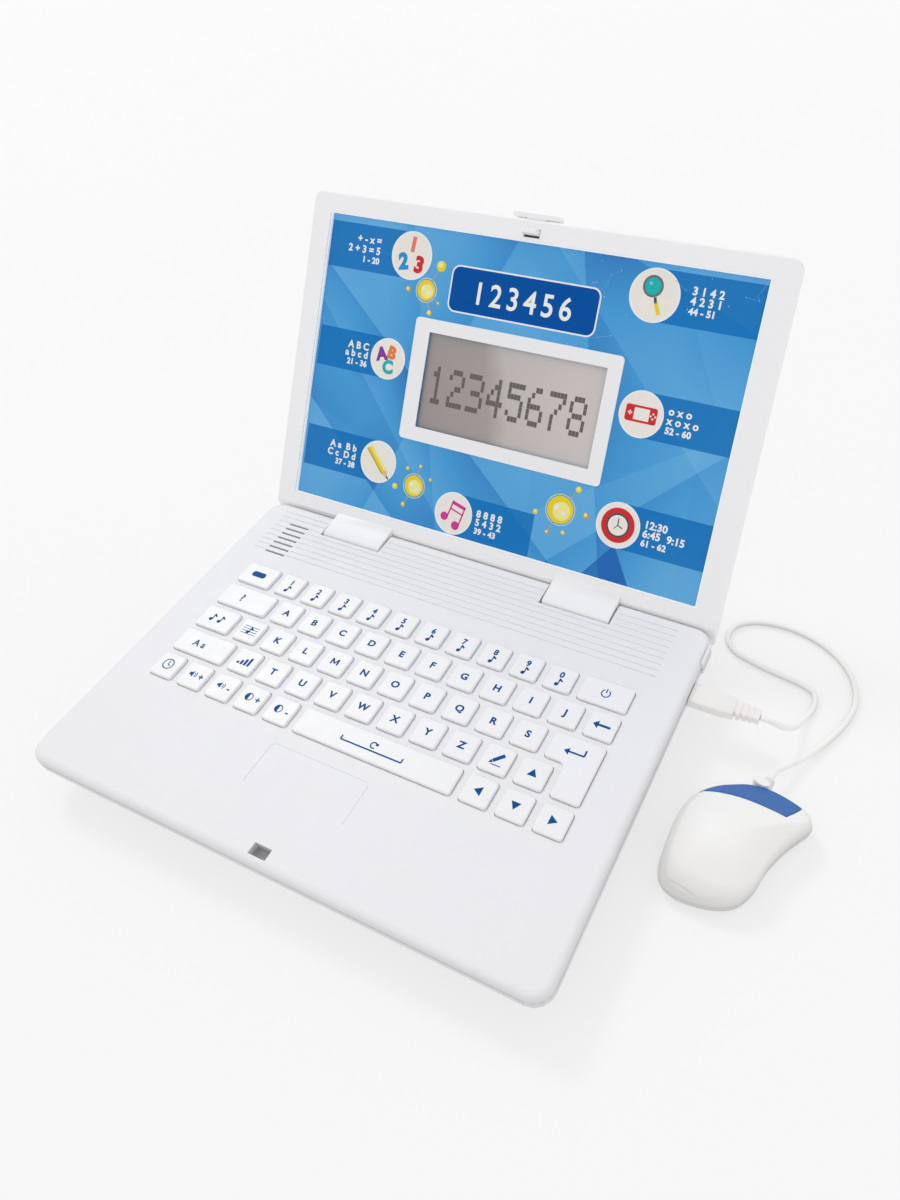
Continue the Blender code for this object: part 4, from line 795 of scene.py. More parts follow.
def keyboard():
    """Plan of every key cap: its left, right, front and rear limits."""
    edge = 6 * KEY_PITCH_X
    between = KEY_PITCH_X - KEY_W
    first = -4 * KEY_PITCH_X - KEY_STAGGER
    last = 5 * KEY_PITCH_X - KEY_STAGGER
    wide_left = (-edge - KEY_W / 2, first - KEY_W / 2 - between)
    wide_right = (last + KEY_W / 2 + between, edge + KEY_W / 2)
    keys = {}
    rows = (("abcdefghij", 1, columns(-4, 5)), ("klmnopqrs", 0, columns(-3, 5, KEY_STAGGER)),
            ("tuvwxyz", -1, columns(-3, 3)), (NUMBERS, 2, columns(-4, 5, KEY_STAGGER)))
    for names, row, places in rows:
        for name, x in zip(names, places):
            keys[name] = cap_box(x, x, row)
    keys["game"] = wide_left + cap_box(0, 0, 2)[2:]
    keys["music"] = wide_left + cap_box(0, 0, 0)[2:]
    keys["notes"] = cap_box(first, first, 0)
    keys["help"] = cap_box(-edge, -edge + KEY_PITCH_X, 1)
    keys["language"] = cap_box(-edge, -edge + KEY_PITCH_X, -1)
    keys["stage"] = cap_box(-4 * KEY_PITCH_X, -4 * KEY_PITCH_X, -1)
    for name, x in zip(("clock", "louder", "quieter", "darker", "lighter"), columns(-6, -2)):
        keys[name] = cap_box(x, x, -2)
    keys["power"] = wide_right + cap_box(0, 0, 2)[2:]
    keys["delete"] = cap_box(edge, edge, 1)
    keys["write"] = cap_box(4 * KEY_PITCH_X, 4 * KEY_PITCH_X, -1)
    keys["enter"] = wide_right + cap_box(0, 0, 0)[2:]
    keys["space"] = cap_box(-KEY_PITCH_X, 3 * KEY_PITCH_X, -2)
    keys["up"] = cap_box(5 * KEY_PITCH_X, 5 * KEY_PITCH_X, -1)
    for name, x in zip(("left", "down", "right"), columns(4, 6)):
        keys[name] = cap_box(x, x, -2)
    return keys


NUMBERS = "1234567890"
KEYS = keyboard()
KEY_GROUPS = {
    "number_keys": tuple(NUMBERS),
    "function_keys": ("game", "music", "notes", "help", "language", "stage", "clock", "louder", "quieter",
                      "darker", "lighter"),
    "arrow_keys": ("up", "left", "down", "right"),
}


def key_corners(name, grow):
    """Corners of a cap's plan; the enter key reaches down one row in its last column."""
    x0, x1, y0, y1 = KEYS[name]
    if name != "enter":
        return rectangle(x0, x1, y0, y1, grow)
    column = cap_box(6 * KEY_PITCH_X, 6 * KEY_PITCH_X, -1)
    inner, low = column[0] - grow, column[2] - grow
    return [(x0 - grow, y0 - grow), (inner, y0 - grow), (inner, low), (x1 + grow, low),
            (x1 + grow, y1 + grow), (x0 - grow, y1 + grow)]


def key_cap(shape, name):
    """Cap with softened edges above a retaining lip."""
    lip = slab(shape, key_corners(name, KEY_FLANGE), FLANGE_Z, FLANGE_Z + KEY_FLANGE,
               KEY_CORNER_R + KEY_FLANGE)
    bmesh.ops.inset_region(shape, faces=[lip], thickness=KEY_FLANGE, use_even_offset=True)
    raised = bmesh.ops.extrude_face_region(shape, geom=[lip])["geom"]
    top = next(item for item in raised if isinstance(item, bmesh.types.BMFace))
    if lip.is_valid:
        shape.faces.remove(lip)
    bmesh.ops.translate(shape, verts=top.verts, vec=(0.0, 0.0, KEY_TOP_Z - FLANGE_Z - KEY_FLANGE))
    bevel(shape, top.edges, 0.0006, 3)


def key_pieces():
    groups = dict(KEY_GROUPS)
    grouped = {name for names in groups.values() for name in names}
    for name in KEYS:
        if name not in grouped:
            groups[f"key_{name}"] = (name,)
    for body, names in groups.items():
        shape = bmesh.new()
        for name in names:
            key_cap(shape, name)
        piece(f"cap_{body}", shape, KEY_WHITE, body, [body], crease=50.0)


# ---------------------------------------------------------------- key legends
def middle_of(name):
    x0, x1, y0, y1 = KEYS[name]
    return (x0 + x1) / 2 / MM, (y0 + y1) / 2 / MM


def note(art, x, y, size):
    """Eighth note: head, stem and flag."""
    art.disc(x - size * 0.18, y - size * 0.30, size * 0.22, "legend", 1, 16)
    stem = [(x - size * 0.01, y - size * 0.30), (x - size * 0.01, y + size * 0.5)]
    art.line(stem, size * 0.14, "legend", 1)
    flag = [(x - size * 0.04, y + size * 0.42), (x + size * 0.34, y + size * 0.16)]
    art.line(flag, size * 0.20, "legend", 1)


def letter_sign(art, x, y, letter):
    if letter == "M":                   # drawn in strokes, because the thickened letter closes up
        art.line([(x - 2.0, y - 1.6), (x - 1.7, y + 2.2)], 0.90, "legend", 1)
        art.line([(x + 2.0, y - 1.6), (x + 1.7, y + 2.2)], 0.90, "legend", 1)
        art.line([(x - 1.7, y + 2.0), (x, y - 0.9), (x + 1.7, y + 2.0)], 0.85, "legend", 1)
    else:
        art.text(letter, x - 0.2, y + 0.3, 3.8, "legend", 1, weight=0.20, stretch=1.12)


def number_sign(art, x, y, number):
    art.text(number, x, y + 2.2, 3.5, "legend", 1, weight=0.19)
    note(art, x + 0.2, y - 2.7, 4.8)


def arrow_sign(art, x, y, turn):
    corners = []
    for angle, reach in ((0, 2.3), (125, 3.0), (235, 3.0)):
        direction = math.radians(turn + angle)
        corners.append((x + reach * math.cos(direction), y + reach * math.sin(direction)))
    art.area(corners, "legend", 1)


def power_sign(art, x, y):
    art.arc(x, y, 2.2, 0.6, "legend", 1, 120.0, 300.0, 24)
    art.line([(x, y + 0.3), (x, y + 2.9)], 0.6, "legend", 1)


def enter_sign(art, x, y):
    art.line([(x + 5.0, y + 2.4), (x + 5.0, y - 1.0), (x - 3.2, y - 1.0)], 0.9, "legend", 1)
    art.area([(x - 5.4, y - 1.0), (x - 2.8, y - 2.9), (x - 2.8, y + 0.9)], "legend", 1)


def delete_sign(art, x, y):
    art.area([(x - 4.6, y), (x - 1.9, y - 2.3), (x - 1.9, y + 2.3)], "legend", 1)
    art.box(x - 2.0, x + 4.4, y - 0.65, y + 0.65, "legend", 1)


def write_sign(art, x, y):
    art.line([(x - 1.4, y - 1.4), (x + 3.0, y + 3.0)], 1.9, "legend", 1)
    art.area([(x - 3.1, y - 3.1), (x - 0.9, y - 2.3), (x - 2.3, y - 0.9)], "legend", 1)
    art.line([(x - 1.6, y - 3.3), (x + 3.6, y - 3.3)], 0.5, "legend", 1)


def space_sign(art, x, y):
    bracket = [(x - 19.0, y + 0.4), (x - 19.0, y - 1.9), (x + 16.0, y - 1.9), (x + 16.0, y + 0.4)]
    art.line(bracket, 0.8, "legend", 1)
    art.arc(x - 1.5, y + 1.2, 1.6, 0.7, "legend", 1, 20.0, 290.0, 20)
    art.area([(x + 1.1, y + 1.4), (x - 0.9, y + 1.5), (x + 0.5, y + 3.1)], "legend", 1)


def game_sign(art, x, y):
    art.box(x - 4.6, x + 4.6, y - 1.9, y + 1.9, "legend", 1, 1.6)


def help_sign(art, x, y):
    art.text("?", x - 3.0, y, 5.0, "legend", 1, weight=0.15)


def music_sign(art, x, y):
    for aside in (-3.2, 2.4):
        note(art, x + aside, y, 5.0)


def notes_sign(art, x, y):
    for row in (-2.4, -0.8, 0.8, 2.4):
        art.line([(x - 5.0, y + row), (x + 5.0, y + row)], 0.35, "legend", 1)
    note(art, x, y, 4.6)


def language_sign(art, x, y):
    art.text("A a", x - 3.0, y, 4.2, "legend", 1, weight=0.12)


def stage_sign(art, x, y):
    for step in range(4):
        art.box(x - 4.2 + step * 2.2, x - 2.7 + step * 2.2, y - 2.6, y - 1.2 + step * 1.35, "legend", 1)


def clock_sign(art, x, y):
    art.arc(x, y + 0.4, 3.0, 0.6, "legend", 1, segments=28)
    art.line([(x, y + 2.4), (x, y + 0.3), (x + 1.5, y - 0.5)], 0.55, "legend", 1)


def volume_sign(art, x, y, sign):
    left, middle = x - 1.6, y + 0.4
    horn = [(-2.2, -0.8), (-1.2, -0.8), (0.2, -1.9), (0.2, 1.9), (-1.2, 0.8), (-2.2, 0.8)]
    art.area([(left + aside, middle + up) for aside, up in horn], "legend", 1)
    for radius in (1.3, 2.3):
        art.arc(left + 0.1, middle, radius, 0.45, "legend", 1, -45.0, 90.0, 8)
    art.text(sign, x + 3.9, y + 0.2, 4.0, "legend", 1, weight=0.14)


def contrast_sign(art, x, y, sign):
    art.arc(x - 1.8, y + 0.4, 2.1, 0.5, "legend", 1, segments=24)
    art.arc(x - 1.8, y + 0.4, 0.95, 1.9, "legend", 1, 90.0, 180.0, 12)
    art.text(sign, x + 3.9, y + 0.2, 4.0, "legend", 1, weight=0.14)


def legend(name, body, signs):
    """Prints one piece; each sign is a key, the function that draws it and what else that function takes."""
    art = Artwork("legend")
    for key, draw, *more in signs:
        draw(art, *middle_of(key), *more)
    art.done(f"legend_{name}", body, KEY_PRINT)


def legends():
    for key in KEYS:
        if len(key) == 1 and key not in NUMBERS:
            legend(key, f"key_{key}", [(key, letter_sign, key.upper())])
    legend("numbers", "number_keys", [(key, number_sign, key) for key in NUMBERS])
    turns = (("up", 90), ("left", 180), ("down", 270), ("right", 0))
    legend("arrows", "arrow_keys", [(key, arrow_sign, turn) for key, turn in turns])
    for key, draw in (("power", power_sign), ("enter", enter_sign), ("delete", delete_sign),
                      ("write", write_sign), ("space", space_sign)):
        legend(key, f"key_{key}", [(key, draw)])
    legend("functions", "function_keys", [
        ("game", game_sign), ("help", help_sign), ("music", music_sign), ("notes", notes_sign),
        ("language", language_sign), ("stage", stage_sign), ("clock", clock_sign),
        ("louder", volume_sign, "+"), ("quieter", volume_sign, "-"),
        ("darker", contrast_sign, "+"), ("lighter", contrast_sign, "-")])


# ---------------------------------------------------------------- the base
NOTCH_FRONT = HINGE.y - NOTCH_REACH
NOTCH_FLOOR = HINGE.z - NOTCH_REACH
THROUGH_DECK = (DECK_Z - 2 * DECK_T, DECK_Z + DECK_T)
SOUND_X = (-0.1223, -0.1081)
SOUND_Y = 0.0735
SOUND_PITCH = 0.0040
SOUND_ROWS = 7
RIB_ROWS = [62.0 + 4.0 * row for row in range(9)]       # grooves behind the keys, in mm
RIB_ENDS = (-131.0, 127.0)
RIB_SOUND_GAP = (-123.5, -106.8)
RIB_NOTCH_REACH = 22.6
REST_PAD = (-0.0310, 0.0270, -0.0800, -0.0460)


def join(shape, other):
    """Adds a second bmesh's shape to the first."""
    mesh = bpy.data.meshes.new("working")
    other.to_mesh(mesh)
    other.free()
    shape.from_mesh(mesh)
    bpy.data.meshes.remove(mesh)


def deck_shell():
    """Deck and rim in one, hollow below, with walls round the hinge pockets."""
    shape = bmesh.new()
    outline = rectangle(-HALF_W, HALF_W, -HALF_D, HALF_D)
    top = slab(shape, outline, SPLIT_Z + GAP / 2, DECK_Z, BASE_CORNER_R, 12)
    bevel(shape, top.edges, DECK_EDGE_R, 5)
    tool = bmesh.new()
    inside = rectangle(-HALF_W, HALF_W, -HALF_D, HALF_D, -WALL)
    slab(tool, inside, SPLIT_Z - WALL, DECK_Z - DECK_T, BASE_CORNER_R - WALL, 8)
    shape = carve(shape, tool)
    tool = bmesh.new()
    reach = NOTCH_W / 2 + NOTCH_WALL
    for centre in NOTCHES:
        walls = rectangle(centre - reach, centre + reach, NOTCH_FRONT - NOTCH_WALL, HALF_D - WALL / 2)
        slab(tool, walls, NOTCH_FLOOR - NOTCH_WALL, DECK_Z - DECK_T / 2)
    return carve(shape, tool, "UNION")


def deck_openings():
    """Tool for the hinge pockets, key openings, latch slot and sound slots."""
    tool = bmesh.new()
    for centre in NOTCHES:
        left = centre - NOTCH_W / 2 - NOTCH_EASE
        pocket = rectangle(left, centre + NOTCH_W / 2, NOTCH_FRONT, HALF_D + WALL)
        slab(tool, pocket, NOTCH_FLOOR, DECK_Z + WALL)
    for name in KEYS:
        slab(tool, key_corners(name, GAP), *THROUGH_DECK, KEY_CORNER_R + GAP)
    slab(tool, rectangle(*LATCH_SLOT), *THROUGH_DECK, SLOT_CORNER_R, 2)
    for row in range(SOUND_ROWS):
        y = SOUND_Y + (row - SOUND_ROWS // 2) * SOUND_PITCH
        slab(tool, rectangle(*SOUND_X, y - 0.00065, y + 0.00065), *THROUGH_DECK)
    return tool


def rib_grooves():
    """Tool for the fine grooves behind the keys, broken at the sound slots and the hinges."""
    tool = bmesh.new()
    for y in RIB_ROWS:
        stops = [RIB_ENDS[0]]
        if y < 86.0:
            stops += RIB_SOUND_GAP
        if y > 83.0:
            for centre in NOTCHES:
                stops += [centre / MM - RIB_NOTCH_REACH, centre / MM + RIB_NOTCH_REACH]
        stops.append(RIB_ENDS[1])
        for left, right in zip(stops[::2], stops[1::2]):
            groove = rectangle(left * MM, right * MM, (y - 0.3) * MM, (y + 0.3) * MM)
            slab(tool, groove, DECK_Z - 0.00035, DECK_Z + WALL)
    return tool


def rest_outline():
    """Tool for the fine outline of the hand rest, open towards the front."""
    pad = bmesh.new()
    slab(pad, rectangle(*REST_PAD), DECK_Z - 0.00022, DECK_Z + WALL, 0.0030, 6)
    inner = bmesh.new()
    slab(inner, rectangle(-0.0306, 0.0266, -0.0860, -0.0464), DECK_Z - WALL, DECK_Z + 2 * WALL, 0.0026, 6)
    front = bmesh.new()
    slab(front, rectangle(-0.04, 0.04, -0.0900, -0.0690), DECK_Z - WALL, DECK_Z + 3 * WALL)
    return carve(carve(pad, inner), front)


def deck():
    """Upper shell: key openings, hinge pockets, sound slots, fine grooves and the hand rest's outline."""
    shape = carve(deck_shell(), deck_openings())
    lines = rib_grooves()
    join(lines, rest_outline())
    shape = carve(shape, lines)
    rims = sharp_edges(shape, 60.0, lambda edge: all(vert.co.z > DECK_Z - 1e-6 for vert in edge.verts))
    bevel(shape, rims, 0.00018, 2)
    piece("deck", shape, WHITE, "base", ["base_top_cover"], crease=32.0)


def side_rail():
    """Low rounded rail on the right wall, beside the hinge."""
    shape = bmesh.new()
    foot = rectangle(HALF_W - 0.0004, HALF_W + 0.0011, 0.0790, 0.0925)
    slab(shape, foot, SPLIT_Z - 0.0040, DECK_Z - 0.0004)
    bevel(shape, [edge for edge in shape.edges if max(vert.co.x for vert in edge.verts) > HALF_W], 0.0007, 3)
    piece("side_rail", shape, WHITE, "base")


def latch_pocket():
    """Moulded pocket under the deck that receives the latch's hook."""
    shape = bmesh.new()
    slab(shape, rectangle(*LATCH_SLOT, 0.0010), DECK_Z - 0.0085, DECK_Z - DECK_T + 0.0001)
    tool = bmesh.new()
    slab(tool, rectangle(*LATCH_SLOT), DECK_Z - 0.0075, DECK_Z, SLOT_CORNER_R, 2)
    piece("latch_pocket", carve(shape, tool), WHITE, "base")


# ---------------------------------------------------------------- shells that keep their solid shape
KNUCKLE_ROOT_Y = -0.0125                # where the knuckles run into the bezel's face


def soften_knuckles(shape):
    """Parts the bezel's face beside the hinge knuckles, so that they shade smoothly into it."""
    cuts = [((0.0, KNUCKLE_ROOT_Y, 0.0), (0.0, 1.0, 0.0))]
    for centre in NOTCHES:
        for side in (-0.5, 0.5):
            cuts.append(((centre + side * (NOTCH_W - 0.0018), 0.0, 0.0), (1.0, 0.0, 0.0)))
    local = LID.inverted()
    for point, normal in cuts:
        on_face = set()
        for face in shape.faces:
            if abs((local @ face.calc_center_median()).z - LID_FACE) < 0.0001:
                on_face.update([face], face.edges, face.verts)
        bmesh.ops.bisect_plane(shape, geom=list(on_face), plane_co=LID @ Vector(point),
                               plane_no=LID.to_3x3() @ Vector(normal))


def is_knuckle_root(spot):
    """Part of the bezel's face just above a hinge knuckle, in the lid's own frame."""
    return spot.y > KNUCKLE_ROOT_Y and any(abs(spot.x - centre) < NOTCH_W / 2 for centre in NOTCHES)


def lid_groove():
    """Tool for the fine groove round the lid's outer face."""
    border = (-0.1340, 0.1340, -0.1850, -0.0080)
    tool = bmesh.new()
    slab(tool, rectangle(*border), LID_BACK - 0.0003, LID_BACK + 0.001, 0.0060, 8)
    inner = bmesh.new()
    slab(inner, rectangle(*border, -0.0006), LID_BACK - 0.001, LID_BACK + 0.002, 0.0054, 8)
    tool = carve(tool, inner)
    bmesh.ops.transform(tool, matrix=LID, verts=tool.verts)
    return tool


def shell_copies():
    """Tray, bezel, lid's back and latch."""
    tray = refined("base_bottom_cover")
    piece("tray", tray, WHITE, "base", ["base_bottom_cover"], outward=False, crease=32.0)
    bezel = refined("lid_front_bezel")
    soften_knuckles(bezel)
    piece("bezel", bezel, LID_WHITE, "lid", ["lid_front_bezel"], outward=False, crease=62.0,
          square=LID, curved=is_knuckle_root)
    back = carve(refined("lid_back_cover"), lid_groove())
    piece("lid_back", back, LID_WHITE, "lid", ["lid_back_cover"], outward=False, crease=32.0,
          square=LID)
    latch = refined("lid_latch")
    piece("latch", latch, LID_WHITE, "latch", ["lid_latch"], outward=False, crease=32.0,
          square=LID)


# ---------------------------------------------------------------- the lid's picture
def window_frame():
    """White surround of the display, standing just proud of the picture sheet."""
    shape = bmesh.new()
    top = slab(shape, rectangle(-0.0645, 0.0652, 0.0580, 0.1285), -0.0001, 0.0003, 0.0025, 6)
    bevel(shape, top.edges, 0.00015, 2)
    tool = bmesh.new()
    slab(tool, rectangle(*WINDOW), -0.001, 0.001, 0.0004, 3)
    piece("window_frame", carve(shape, tool), KEY_WHITE, "lid", place=PRINT)


def picture_trim():
    """Thin white trim where the picture sheet meets the bezel's opening; its faint glow is a painted
    highlight on the opening's rim.
    """
    shape = bmesh.new()
    slab(shape, rectangle(*PICTURE), 0.0001, 0.0018)
    tool = bmesh.new()
    slab(tool, rectangle(*PICTURE, -0.0006), -0.001, 0.003)
    shape = carve(shape, tool)
    bevel(shape, sharp_edges(shape, 60.0, lambda edge: min(v.co.z for v in edge.verts) > 0.0017), 0.0002, 2)
    piece("picture_trim", shape, GLOWING_TRIM, "lid", place=PRINT)


def name_plate():
    art = Artwork("white", "plate", "mist")
    art.box(-46.0, 45.5, 134.5, 160.5, "white", 1, 5.0)
    art.box(-45.1, 44.6, 135.4, 159.6, "plate", 2, 4.2)
    art.text("1 2 3 4 5 6", -0.2, 147.3, 12.5, "white", 3, weight=0.25, stretch=0.92, spacing=0.9)
    art.done("number_plate", "lid", PRINT)


def badge(art, x, y, radius):
    art.disc(x, y, radius, "white", 1, 56)
    art.disc(x, y, radius - 0.9, "cream", 2, 56)


def caption(art, x, align, lines):
    for text, y, size in lines:
        art.text(text, x, y, size * 1.12, "white", 2, weight=0.20, align=align, spacing=1.04)


def badge_numbers():
    art = Artwork("white", "cream", "coral", "azure", "red")
    badge(art, -74.0, 161.0, 13.5)
    art.text("1", -73.6, 167.6, 7.6, "coral", 3, weight=0.75, turn=-4.0)
    art.text("2", -79.0, 157.6, 8.8, "azure", 3, weight=0.7, turn=10.0)
    art.text("3", -68.2, 157.0, 8.8, "red", 3, weight=0.7, turn=-6.0)
    lines = (("+ - x =", 166.2, 3.7), ("2 + 3 = 5", 160.4, 3.7), ("1 - 20", 154.8, 3.1))
    caption(art, -95.5, "RIGHT", lines)
    art.done("badge_numbers", "lid", PRINT)


def badge_letters():
    art = Artwork("white", "cream", "purple", "orange", "teal")
    badge(art, -80.0, 101.0, 12.0)
    art.text("A", -84.6, 103.6, 7.4, "purple", 3, weight=0.6, turn=14.0)
    art.text("B", -77.6, 105.2, 7.0, "orange", 3, weight=0.6, turn=-12.0)
    art.text("C", -79.2, 96.6, 7.4, "teal", 3, weight=0.6, turn=6.0)
    caption(art, -94.0, "RIGHT", (("A B C", 105.4, 3.7), ("a b c d", 100.5, 3.7), ("21 - 36", 95.3, 3.1)))
    art.done("badge_letters", "lid", PRINT)


def badge_pencil():
    art = Artwork("white", "cream", "yellow", "lemon", "wood", "slate", "ochre")
    badge(art, -76.0, 40.0, 12.7)
    art.line([(-83.6, 47.8), (-71.2, 34.9)], 4.4, "yellow", 3)
    art.line([(-82.6, 48.8), (-70.2, 35.9)], 1.3, "lemon", 4)
    art.line([(-84.7, 46.8), (-72.3, 33.9)], 0.9, "ochre", 4)
    art.area([(-72.8, 33.4), (-69.6, 36.4), (-67.6, 31.4)], "wood", 3)
    art.area([(-69.3, 31.9), (-68.3, 33.0), (-67.0, 30.8)], "slate", 4)
    caption(art, -92.5, "RIGHT", (("A a  B b", 44.4, 3.7), ("C c  D d", 39.3, 3.7), ("37 - 38", 34.1, 3.1)))
    art.done("badge_pencil", "lid", PRINT)


def badge_music():
    art = Artwork("white", "cream", "pink")
    badge(art, -20.0, 22.0, 12.5)
    art.line([(-21.6, 28.6), (-12.6, 26.2)], 2.0, "pink", 3)
    art.line([(-22.2, 24.6), (-13.4, 22.2)], 0.9, "pink", 3)
    art.line([(-20.9, 29.4), (-23.6, 19.4)], 0.9, "pink", 3)
    art.line([(-12.8, 27.0), (-15.6, 15.4)], 0.9, "pink", 3)
    art.disc(-25.6, 19.2, 2.5, "pink", 3, 24)
    art.disc(-17.6, 15.2, 2.6, "pink", 3, 24)
    caption(art, -5.0, "LEFT", (("8 8 8 8", 25.9, 3.7), ("5 4 3 2", 20.9, 3.7), ("39 - 43", 15.7, 3.1)))
    art.done("badge_music", "lid", PRINT)


def badge_lens():
    art = Artwork("white", "cream", "grey", "teal", "mist", "yellow", "slate")
    badge(art, 74.0, 161.5, 13.8)
    art.line([(74.6, 160.6), (75.4, 157.6)], 1.5, "slate", 3)
    art.line([(75.3, 158.2), (78.2, 152.2)], 2.1, "yellow", 3)
    art.disc(72.4, 165.9, 5.6, "grey", 3)
    art.disc(72.4, 165.9, 4.3, "teal", 4)
    art.disc(71.0, 167.2, 0.9, "mist", 5, 16)
    caption(art, 93.5, "LEFT", (("3 1 4 2", 167.0, 3.7), ("4 2 3 1", 162.0, 3.7), ("44 - 51", 156.8, 3.1)))
    art.done("badge_lens", "lid", PRINT)


def badge_game():
    art = Artwork("white", "cream", "red", "coral")
    badge(art, 80.0, 101.0, 12.5)
    art.box(71.2, 88.8, 96.6, 105.4, "red", 3, 1.4)
    art.box(76.0, 84.6, 97.8, 104.2, "cream", 4, 0.4)
    art.box(72.6, 75.0, 100.6, 101.4, "cream", 4)
    art.box(73.4, 74.2, 99.8, 102.2, "cream", 4)
    for x, y in ((86.7, 102.3), (86.7, 99.7), (85.4, 101.0), (88.0, 101.0)):
        art.disc(x, y, 0.55, "cream", 4, 12)
    caption(art, 94.5, "LEFT", (("o x o", 105.9, 3.7), ("x o x o", 100.9, 3.7), ("52 - 60", 95.7, 3.1)))
    art.done("badge_game", "lid", PRINT)


def badge_clock():
    art = Artwork("white", "cream", "red", "slate")
    badge(art, 80.0, 40.5, 12.7)
    art.disc(80.0, 40.5, 9.6, "red", 3, 48)
    art.disc(80.0, 40.5, 6.6, "slate", 4, 40)
    art.disc(80.0, 40.5, 5.6, "cream", 5, 40)
    art.line([(80.0, 44.4), (80.0, 40.3)], 0.6, "slate", 6)
    art.line([(80.0, 40.5), (82.9, 39.3)], 0.6, "slate", 6)
    art.line([(80.2, 40.5), (77.9, 38.2)], 0.35, "slate", 6)
    caption(art, 94.5, "LEFT", (("12:30", 45.0, 3.7), ("6:45  9:15", 40.0, 3.7), ("61 - 62", 34.8, 3.1)))
    art.done("badge_clock", "lid", PRINT)


def badges():
    badge_numbers()
    badge_letters()
    badge_pencil()
    badge_music()
    badge_lens()
    badge_game()
    badge_clock()


MOLECULES = {                           # ball, then its moons: x, y and radius, in mm
    "upper": ((-61.0, 143.5, 6.5), (
        (-53.5, 158.0, 3.0), (-73.0, 142.5, 1.7), (-57.0, 131.5, 1.5), (-52.0, 137.5, 1.0))),
    "left": ((-49.0, 31.5, 7.0), (
        (-46.5, 44.0, 1.0), (-38.5, 37.5, 1.2), (-62.0, 28.5, 1.8), (-54.5, 19.0, 1.6), (-55.0, 41.0, 1.1))),
    "right": ((45.5, 40.5, 8.5), (
        (54.0, 54.0, 1.8), (61.0, 41.0, 1.8), (31.0, 36.0, 1.5), (40.0, 26.5, 1.3), (49.5, 28.5, 1.2))),
}


def molecules():
    """Yellow balls, each in a thin ring with small ones on stalks."""
    for name, ((x, y, radius), moons) in MOLECULES.items():
        art = Artwork("yellow", "lemon", "ochre", "cream")
        for index, (mx, my, small) in enumerate(moons):
            if index in (0, 3) or (name == "upper" and index == 2):
                toward = Vector((mx - x, my - y)).normalized()
                art.line([(x + toward.x * radius, y + toward.y * radius), (mx, my)], 0.45, "ochre", 1)
            art.disc(mx, my, small, "ochre" if index % 2 else "yellow", 2, 20)
            art.disc(mx - small * 0.15, my + small * 0.2, small * 0.55, "lemon", 3, 16)
        art.arc(x, y, radius + 0.25, 0.35, "lemon", 1, segments=48)
        art.disc(x, y, radius - 0.7, "yellow", 2)
        art.disc(x + radius * 0.10, y - radius * 0.08, radius * 0.62, "lemon", 3)
        art.disc(x - radius * 0.28, y + radius * 0.14, radius * 0.20, "cream", 4, 20)
        art.disc(x + radius * 0.24, y - radius * 0.22, radius * 0.16, "cream", 4, 20)
        art.done(f"molecule_{name}", "lid", PRINT)


def network():
    """Faint dots joined by hairlines in the panel's upper right corner."""
    draw = random.Random(11)
    art = Artwork("mist")
    spots = [(draw.uniform(20.0, 131.0), draw.uniform(126.0, 177.0)) for _ in range(70)]
    spots = [spot for spot in spots if spot[0] * 0.45 + 108.0 < spot[1] or spot[1] > 172.0]
    for index, (x, y) in enumerate(spots):
        art.disc(x, y, draw.uniform(0.18, 0.42), "mist", 1, 8)
        near = sorted(spots[index + 1:], key=lambda other: (other[0] - x) ** 2 + (other[1] - y) ** 2)
        for other in near[:1]:
            if math.dist(other, (x, y)) < 9.0:
                art.line([(x, y), other], 0.10, "mist", 1)
    art.done("network", "lid", PRINT)


DOT_FIGURES = {
    "1": "00100 01100 00100 00100 00100 00100 01110",
    "2": "01110 10001 00001 00110 01000 10000 11111",
    "3": "11110 00001 00001 01110 00001 00001 11110",
    "4": "00010 00110 01010 10010 11111 00010 00010",
    "5": "11111 10000 11110 00001 00001 10001 01110",
    "6": "00110 01000 10000 11110 10001 10001 01110",
    "7": "11111 00001 00010 00100 01000 01000 01000",
    "8": "01110 10001 10001 01110 10001 10001 01110",
}


def display_figures():
    """A row of dot-matrix figures on the display."""
    art = Artwork("dot")
    wide, tall = 2.05, 3.1
    for index, figure in enumerate("12345678"):
        left = -50.5 + index * 12.75
        for row, line in enumerate(DOT_FIGURES[figure].split()):
            for column, mark in enumerate(line):
                if mark == "1":
                    x, y = left + column * wide, 103.0 - row * tall
                    art.box(x + 0.08, x + wide - 0.08, y - tall + 0.08, y - 0.08, "dot", 2)
    face = PRINT @ Matrix.Translation((0.0, 0.0, -DISPLAY_DEPTH))
    art.done("display_figures", "lid", face)


# ---------------------------------------------------------------- the mouse
MOUSE_PLAN = ((21.4, 12.0), (25.0, 21.5), (26.6, 27.2), (22.0, 31.4), (12.5, 32.9), (3.0, 32.6),
              (-6.5, 29.8), (-14.0, 25.2), (-21.5, 19.2), (-26.6, 11.5), (-28.0, 2.0), (-27.2, -7.0),
              (-25.4, -16.0), (-22.6, -26.5), (-18.2, -33.0), (-10.5, -34.8), (-1.0, -33.0),
              (9.0, -28.6), (15.4, -22.4), (18.2, -13.0), (18.6, -1.0))
BUTTON_PLAN = ((-40.0, 5.0), (-22.7, 11.4), (-16.3, 13.4), (-9.0, 15.3), (-2.0, 16.7), (4.3, 17.7),
               (11.3, 18.6), (16.0, 19.0), (17.8, 23.5), (20.0, 30.0), (22.0, 36.0), (22.0, 70.0),
               (-40.0, 70.0))
